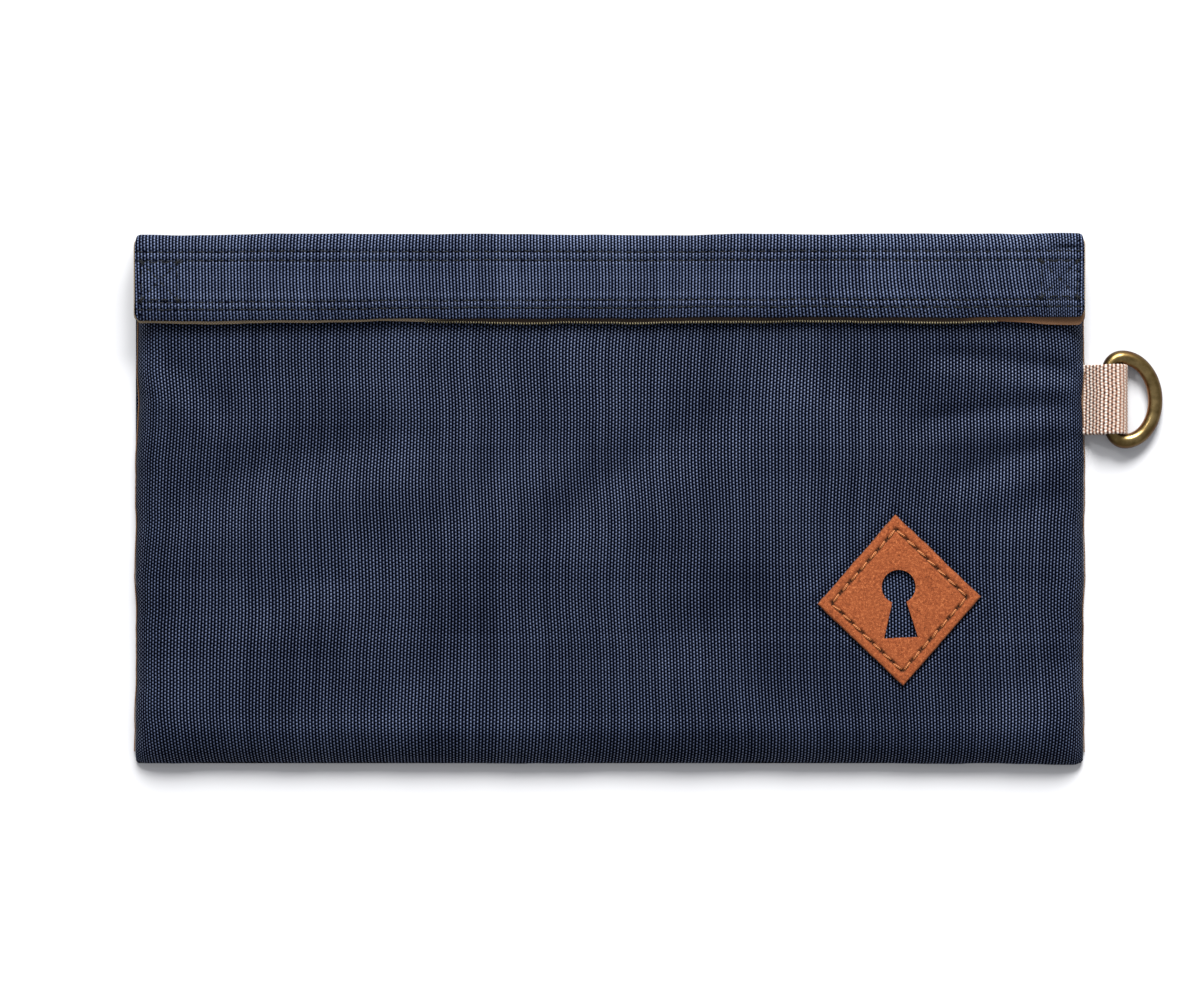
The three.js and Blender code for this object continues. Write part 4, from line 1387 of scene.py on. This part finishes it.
def webbing_weave(place, along_rib, q, face):
    """Relief of the webbing and its gaps, which carry painted shade, made flatter and closed where it goes
    round the bar.
    """
    rib = np.abs(np.cos(math.pi * place / RIB))
    index = np.floor(place / RIB + 0.5)
    bead = 0.5 + 0.5 * np.cos(2 * math.pi * (along_rib / BEAD + 0.5 * (index % 2)))
    stray = np.random.default_rng(73).uniform(-1, 1, int(index.max() - index.min()) + 1)
    uneven = 1 + 0.10 * stray[(index - index.min()).astype(int)]
    relief = rib**0.75 * (0.55 + 0.45 * bead) * uneven
    stagger = np.floor(place / RIB) % 2 * 0.5
    hole = bell(rib, 0.50) * bell(np.sin(math.pi * (along_rib / (2 * BEAD) + stagger)), 0.50)
    loose = ease((np.abs(place) - 3.0) / 3.5)
    relief = np.clip(relief * (0.66 + 0.34 * loose) + 0.16 * (1 - loose) - 0.5 * hole * loose, 0, 1)
    gap = np.clip(1.9 * hole * (0.35 + 0.65 * loose), 0, 1) * (face > 0.9)
    selvage = np.clip((np.abs(q) - 0.955) / 0.045, 0, 1)
    fringe = 0.5 + 0.5 * np.cos(2 * math.pi * place / RIB)
    relief = relief * (1 - 0.35 * selvage) + 0.35 * selvage * fringe
    return relief, gap, fringe * selvage


def closed(grid):
    """The grid with its first column again at its end."""
    return np.concatenate([grid, grid[:, :1]], 1)


def make_webbing():
    """The tab: webbing out of the seam, round the ring's bar and back, with its bar tack."""
    arc, places, inward = webbing_path()
    outline = webbing_section()
    p, q = np.meshgrid(np.linspace(0, arc[-1], int(arc[-1] / WEBBING_GRID)), outline[:, 0], indexing="ij")
    face = np.broadcast_to(outline[:, 1], p.shape)
    along_rib = q * WEBBING_HALF + 0.10 * ripple(p / 3.1, 71)
    place = p - arc[-1] / 2 + 0.08 * ripple(q * WEBBING_HALF / 2.9, 72)
    relief, gap, edge = webbing_weave(place, along_rib, q, face)
    height = face * (WEBBING / 2 - 0.30 + 0.42 * relief)
    x, z = (at + into * height for at, into in zip(read_path(p, arc, places), read_path(p, arc, inward)))
    y = BAR[1] - q * WEBBING_HALF * (1 + 0.010 * edge) + 0.18 * ripple(p / 8, 74)
    sunk = WEBBING_SINK * ease((HALF_WIDTH + 3.5 - x) / 4)
    points = closed(np.stack([x, y, np.maximum(BAR[2] + z - sunk, 0.02)], 2))
    uv = closed(np.stack([p, along_rib], 2))
    tab = cloth_piece("webbing_tab", points, uv, webbing, relief=closed(relief), gap=closed(gap))
    face_outwards(tab, weld=True)
    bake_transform(tab)
    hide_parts("webbing_loop", "webbing_anchor")
    low, high = corners("tab_bartack")
    top = BAR[2] + WEBBING_LEVEL + WEBBING / 2 - WEBBING_SINK
    line = [((low[0] + high[0]) / 2, y, top) for y in np.linspace(low[1], high[1], 40)]
    tack = sewn(
        "tab_bar_tack", [line], tan_thread, pitch=0.42, length=2.4, rise=0.28, sink=0.2,
        Slant=math.radians(82),
    )
    assign(tack, "bag", "tan_thread", "tab_bartack")


# ---------------------------------------------------------------- D-ring

WIRE = 2.15
RING_HALF = 12.35
RING_DEPTH = 13.5
RING_CORNER = 3.9
RING_LEAN = math.radians(3)
RING_DROP = math.asin((BAR[2] - WIRE - 0.05) / RING_DEPTH)


def ring_line(steps):
    """Middle line of the D: a straight bar, two tight corners and an elliptical bow."""
    bar_end = RING_HALF - RING_CORNER
    reach = RING_DEPTH - RING_CORNER
    corner = np.radians(np.linspace(0, 90, 24))
    bow = np.radians(np.linspace(0, 180, 90))
    upper = [(RING_CORNER * (1 - math.cos(a)), bar_end + RING_CORNER * math.sin(a)) for a in corner]
    round_bow = [(RING_CORNER + reach * math.sin(a), RING_HALF * math.cos(a)) for a in bow[1:-1]]
    lower = [(x, -y) for x, y in upper[::-1]]
    path = np.array([(0, -bar_end)] + upper + round_bow + lower)
    length = arc_lengths(path)
    arc = np.linspace(0, length[-1], steps, endpoint=False)
    return np.stack(read_path(arc, length, path), 1)


def make_ring():
    """The ring's wire, leaning a little and dropped until its bow rests on the table."""
    steps, sides = 200, 36
    line = ring_line(steps)
    for _ in range(3):
        line = (np.roll(line, 1, 0) + 2 * line + np.roll(line, -1, 0)) / 4
    run = np.roll(line, -1, 0) - np.roll(line, 1, 0)
    run /= np.linalg.norm(run, axis=1)[:, None]
    out = np.stack([run[:, 1], -run[:, 0]], 1)
    around = np.linspace(0, 2 * math.pi, sides, endpoint=False)
    turn = np.linspace(0, 2 * math.pi, steps, endpoint=False)
    radius = WIRE * (1 + 0.006 * ripple(turn * 3, 81))[:, None]
    side = -np.cos(around) * radius
    x = line[:, :1] + out[:, :1] * -side
    y = line[:, 1:] + out[:, 1:] * -side
    z = np.sin(around) * radius
    facing_up = np.broadcast_to(np.sin(around), x.shape)
    outward = np.broadcast_to(np.cos(around), x.shape)
    # Partly real handling and partly painted light: the wire's top and outer side are painted brighter, its
    # underside and inner side darker.
    rubbed = 0.34 + 0.34 * facing_up + 0.20 * outward
    rim = ease((outward - 0.72) / 0.22) * ease((facing_up + 0.1) / 0.3)
    dropped = x * math.cos(RING_DROP) + z * math.sin(RING_DROP)
    z = z * math.cos(RING_DROP) - x * math.sin(RING_DROP)
    leaned = dropped * math.cos(RING_LEAN) - y * math.sin(RING_LEAN)
    y = y * math.cos(RING_LEAN) + dropped * math.sin(RING_LEAN)
    points = np.stack([leaned, y, z], 2) + BAR
    here, ahead = (np.arange(steps)[:, None] + step for step in (0, 1))
    here, ahead = here * sides, ahead % steps * sides
    side, beside = np.arange(sides), (np.arange(sides) + 1) % sides
    faces = np.stack([here + side, here + beside, ahead + beside, ahead + side], 2).reshape(-1, 4)
    ring = mesh_piece("d_ring_wire", points, faces, brass, rubbed=rubbed, rim=rim)
    face_outwards(ring)
    assign(ring, "ring", "antique_brass", "d_ring")


# ---------------------------------------------------------------- suede patch

PATCH_THICK = 1.4
PATCH_GAP = 0.06  # between the cloth and the patch
PATCH_INSET = 3.0  # from the patch's edge to its row of stitching
PATCH_PITCH = 4.0
HOLE_WIDTH = 0.50
PATCH_STITCH = 2.6
NEEDLE_REACH = 1.62  # from the middle of a patch stitch to its needle holes
KEYHOLE_RADIUS = 5.0
KEYHOLE_FOOT = 11.0


def patch_turned(x, y):
    """From the patch's own axes to the bag's."""
    cos, sin = math.cos(PATCH_TURN), math.sin(PATCH_TURN)
    return PATCH_MIDDLE[0] + x * cos - y * sin, PATCH_MIDDLE[1] + x * sin + y * cos


def patch_surface(x, y, above):
    """Points that far above the underside of the patch, from its own axes."""
    bag_x, bag_y = patch_turned(x, y)
    return np.stack([bag_x, bag_y, patch_bed(bag_x, bag_y) + PATCH_GAP + above], -1)


def edge_distance(x, y):
    """How far inside the diamond's edges a point lies."""
    slope = math.hypot(1 / PATCH_HALF[0], 1 / PATCH_HALF[1])
    return (1 - np.abs(x) / PATCH_HALF[0] - np.abs(y) / PATCH_HALF[1]) / slope


def gap_to(places, x, y):
    """Distance from each point to the nearest of some places."""
    gap = np.hypot(x.ravel()[:, None] - places[:, 0], y.ravel()[:, None] - places[:, 1])
    return gap.min(1).reshape(x.shape)


def needle_depth(x, y):
    """1 at the middle of a needle hole, falling to 0 around it."""
    return bell(gap_to(needle_places(), x, y), HOLE_WIDTH)


def keyhole_outline():
    """A circle that opens downwards into a straight-sided foot."""
    neck, r = math.radians(65), KEYHOLE_RADIUS
    angles = np.linspace(-neck, math.pi + neck, 44)
    points = [(r * math.cos(a), r * math.sin(a) + r - 1) for a in angles]
    foot = [(-KEYHOLE_RADIUS, -KEYHOLE_FOOT), (KEYHOLE_RADIUS, -KEYHOLE_FOOT)]
    return np.array(points + foot)


def keyhole_cutter():
    """A closed block in the shape of the keyhole, through the patch."""
    outline = keyhole_outline()
    count = len(outline)
    low = patch_surface(outline[:, 0], outline[:, 1], -3.0)
    high = patch_surface(outline[:, 0], outline[:, 1], 5.0)
    walls = [(i, (i + 1) % count, count + (i + 1) % count, count + i) for i in range(count)]
    faces = walls + [tuple(range(count))[::-1], tuple(range(count, 2 * count))]
    cutter = mesh_piece("keyhole_cutter", np.concatenate([low, high]), faces, patch_suede, smooth=False)
    cutter.hide_render = True
    return cutter


def patch_faces(count):
    """Faces of a closed slab: a square grid on top, the same grid below, and walls round the rim."""
    step = np.arange(count - 1)
    rim = np.concatenate([
        step, step * count + count - 1, count * count - 1 - step, (count - 1 - step) * count,
    ])
    ahead = np.roll(rim, -1)
    under = count * count
    top = grid_faces(count, count)
    return np.concatenate([top, top[:, ::-1] + under, np.stack([rim, rim + under, ahead + under, ahead], 1)])


def patch_points(count):
    """Points of the slab: a diamond with a ragged edge, pressed along its stitching."""
    p, q = np.meshgrid(np.linspace(-1, 1, count), np.linspace(-1, 1, count))
    x = PATCH_HALF[0] * (p - q) / 2
    y = PATCH_HALF[1] * (p + q) / 2
    ragged = 0.16 * crumple(x, y, 2.2, 12) + 0.14 * crumple(x, y, 6.0, 13)
    shrink = 1 + ease(1 - edge_distance(x, y) / 2.0) * (ragged - 0.05) / 18
    x, y = x * shrink, y * shrink
    inside = edge_distance(x, y)
    outline = keyhole_outline()
    ends = zip(outline, np.roll(outline, -1, 0))
    cut = np.concatenate([np.linspace(start, end, 12) for start, end in ends])
    top = PATCH_THICK - 0.30 * bell(inside - PATCH_INSET, 0.55) - 0.38 * fading(inside, 0.55)
    top = top + 0.10 * bell(inside - 1.5, 0.7) - 0.16 * bell(gap_to(cut, x, y), 0.5)
    top = top - 0.35 * needle_depth(x, y) + 0.05 * crumple(x, y, 4.0, 14)
    return np.concatenate([patch_surface(x, y, above).reshape(-1, 3) for above in (top, 0.0)])


def make_patch():
    """The suede patch: a closed slab with a keyhole cut through it, and its stitching."""
    count = 150
    blank = mesh_piece("suede_patch", patch_points(count), patch_faces(count), patch_suede, smooth=False)
    cutter = keyhole_cutter()
    cut = blank.modifiers.new("Keyhole", "BOOLEAN")
    cut.object = cutter
    cut.solver = "EXACT"
    patch = plain_mesh(blank, "suede_patch")
    bpy.data.objects.remove(cutter)
    x, y, z = point_places(patch).T
    depth = patch_bed(x, y) + PATCH_GAP + PATCH_THICK - z
    along, up = patch_axes(x, y)
    inside = edge_distance(along, up)
    # The pressed and needle-hole values carry painted shade for the stitching groove and the needle holes.
    set_attributes(patch.data, {
        "cut_edge": np.maximum(ease((depth - 0.45) / 0.4), 0.7 * ease(1 - inside / 0.5)),
        "pressed": bell(inside - PATCH_INSET, 0.5) * (depth < 0.6),
        "needle_hole": np.clip(1.3 * needle_depth(along, up), 0, 1) * (depth < 0.9),
    })
    patch.data.materials.clear()
    patch.data.materials.append(patch_suede)
    patch.data.shade_smooth()
    bpy.context.view_layer.objects.active = patch
    patch.data.set_sharp_from_angle(angle=math.radians(40))
    assign(patch, "bag", "suede", "leather_patch")
    make_patch_stitches()


def patch_rows():
    """The four rows of stitching: each row's ends in the patch's own axes, and how many stitches it has."""
    slope = math.hypot(*PATCH_HALF)
    half = PATCH_HALF - PATCH_INSET * slope / PATCH_HALF[::-1]
    tips = np.array([(0, 1), (1, 0), (0, -1), (-1, 0)]) * half
    rows = []
    for start, end in zip(tips, np.roll(tips, -1, 0)):
        length = np.linalg.norm(end - start)
        count = round(length / PATCH_PITCH)
        inset = (end - start) / (2 * count)
        rows.append((start + inset, end - inset, count))
    return rows


def needle_places():
    """Where the needle went through the patch: at both ends of every stitch."""
    places = []
    for start, end, count in patch_rows():
        along = (end - start) / np.linalg.norm(end - start)
        for centre in np.linspace(start, end, count):
            places += [centre - along * NEEDLE_REACH, centre + along * NEEDLE_REACH]
    return np.array(places)


def make_patch_stitches():
    lines = []
    for start, end, _ in patch_rows():
        line = np.linspace(start, end, 12)
        lines.append(patch_surface(line[:, 0], line[:, 1], PATCH_THICK - 0.24))
    rows = sewn(
        "patch_stitches", lines, tan_thread, pitch=PATCH_PITCH * 0.985, length=PATCH_STITCH, radius=0.36,
        rise=0.46, sink=0.50, Slant=math.radians(7), Unevenness=0.08,
    )
    assign(rows, "bag", "tan_thread", "patch_stitching")


# ---------------------------------------------------------------- assembling

add_camera()
add_studio()

nylon = navy_nylon("navy_nylon", 1.09)
# The flap's weave gets painted shade at its needle holes and along its rows of stitching.
flap_nylon = navy_nylon("navy_nylon_flap", 1.30, 0.74, [
    needle_holes([arc_at(row, True) for row in FLAP_ROWS]), needle_holes([-END_ROW, END_ROW], "Y", "X"),
])
lining_cloth = tan_lining("tan_lining")
facing_cloth = tan_facing("tan_facing")
binding_tape = ribbed_tape("tan_binding", (0.07, 0.042, 0.022, 1), (0.26, 0.18, 0.11, 1))
ground = pile_ground("closure_ground")
filament = nylon_filament("hook_filament", (0.006, 0.008, 0.016, 1), (0.03, 0.04, 0.07, 1), 0.32)
loop_yarn = nylon_filament("loop_yarn", (0.004, 0.006, 0.012, 1), (0.02, 0.027, 0.05, 1), 0.6)
webbing = webbing_yarn()
brass = antique_brass()
patch_suede = suede()
navy_thread = sewing_thread("navy_thread", (0.004, 0.005, 0.009, 1), (0.03, 0.036, 0.06, 1))
topstitch_thread = sewing_thread("olive_navy_thread", (0.003, 0.0035, 0.004, 1), (0.016, 0.018, 0.020, 1))
tan_thread = sewing_thread("tan_thread", (0.11, 0.030, 0.009, 1), (0.55, 0.20, 0.068, 1))
gold_thread = sewing_thread("gold_beige_thread", (0.060, 0.046, 0.024, 1), (0.31, 0.27, 0.16, 1))
seam_thread = sewing_thread("brown_seam_thread", (0.10, 0.05, 0.022, 1), (0.30, 0.17, 0.09, 1))

stitches = stitch_tree()
pile = pile_tree()

make_front()
make_wrap()
make_back_lining()
make_facing()
make_closure()
make_bindings()
make_flap_stitching()
make_webbing()
make_ring()
make_patch()
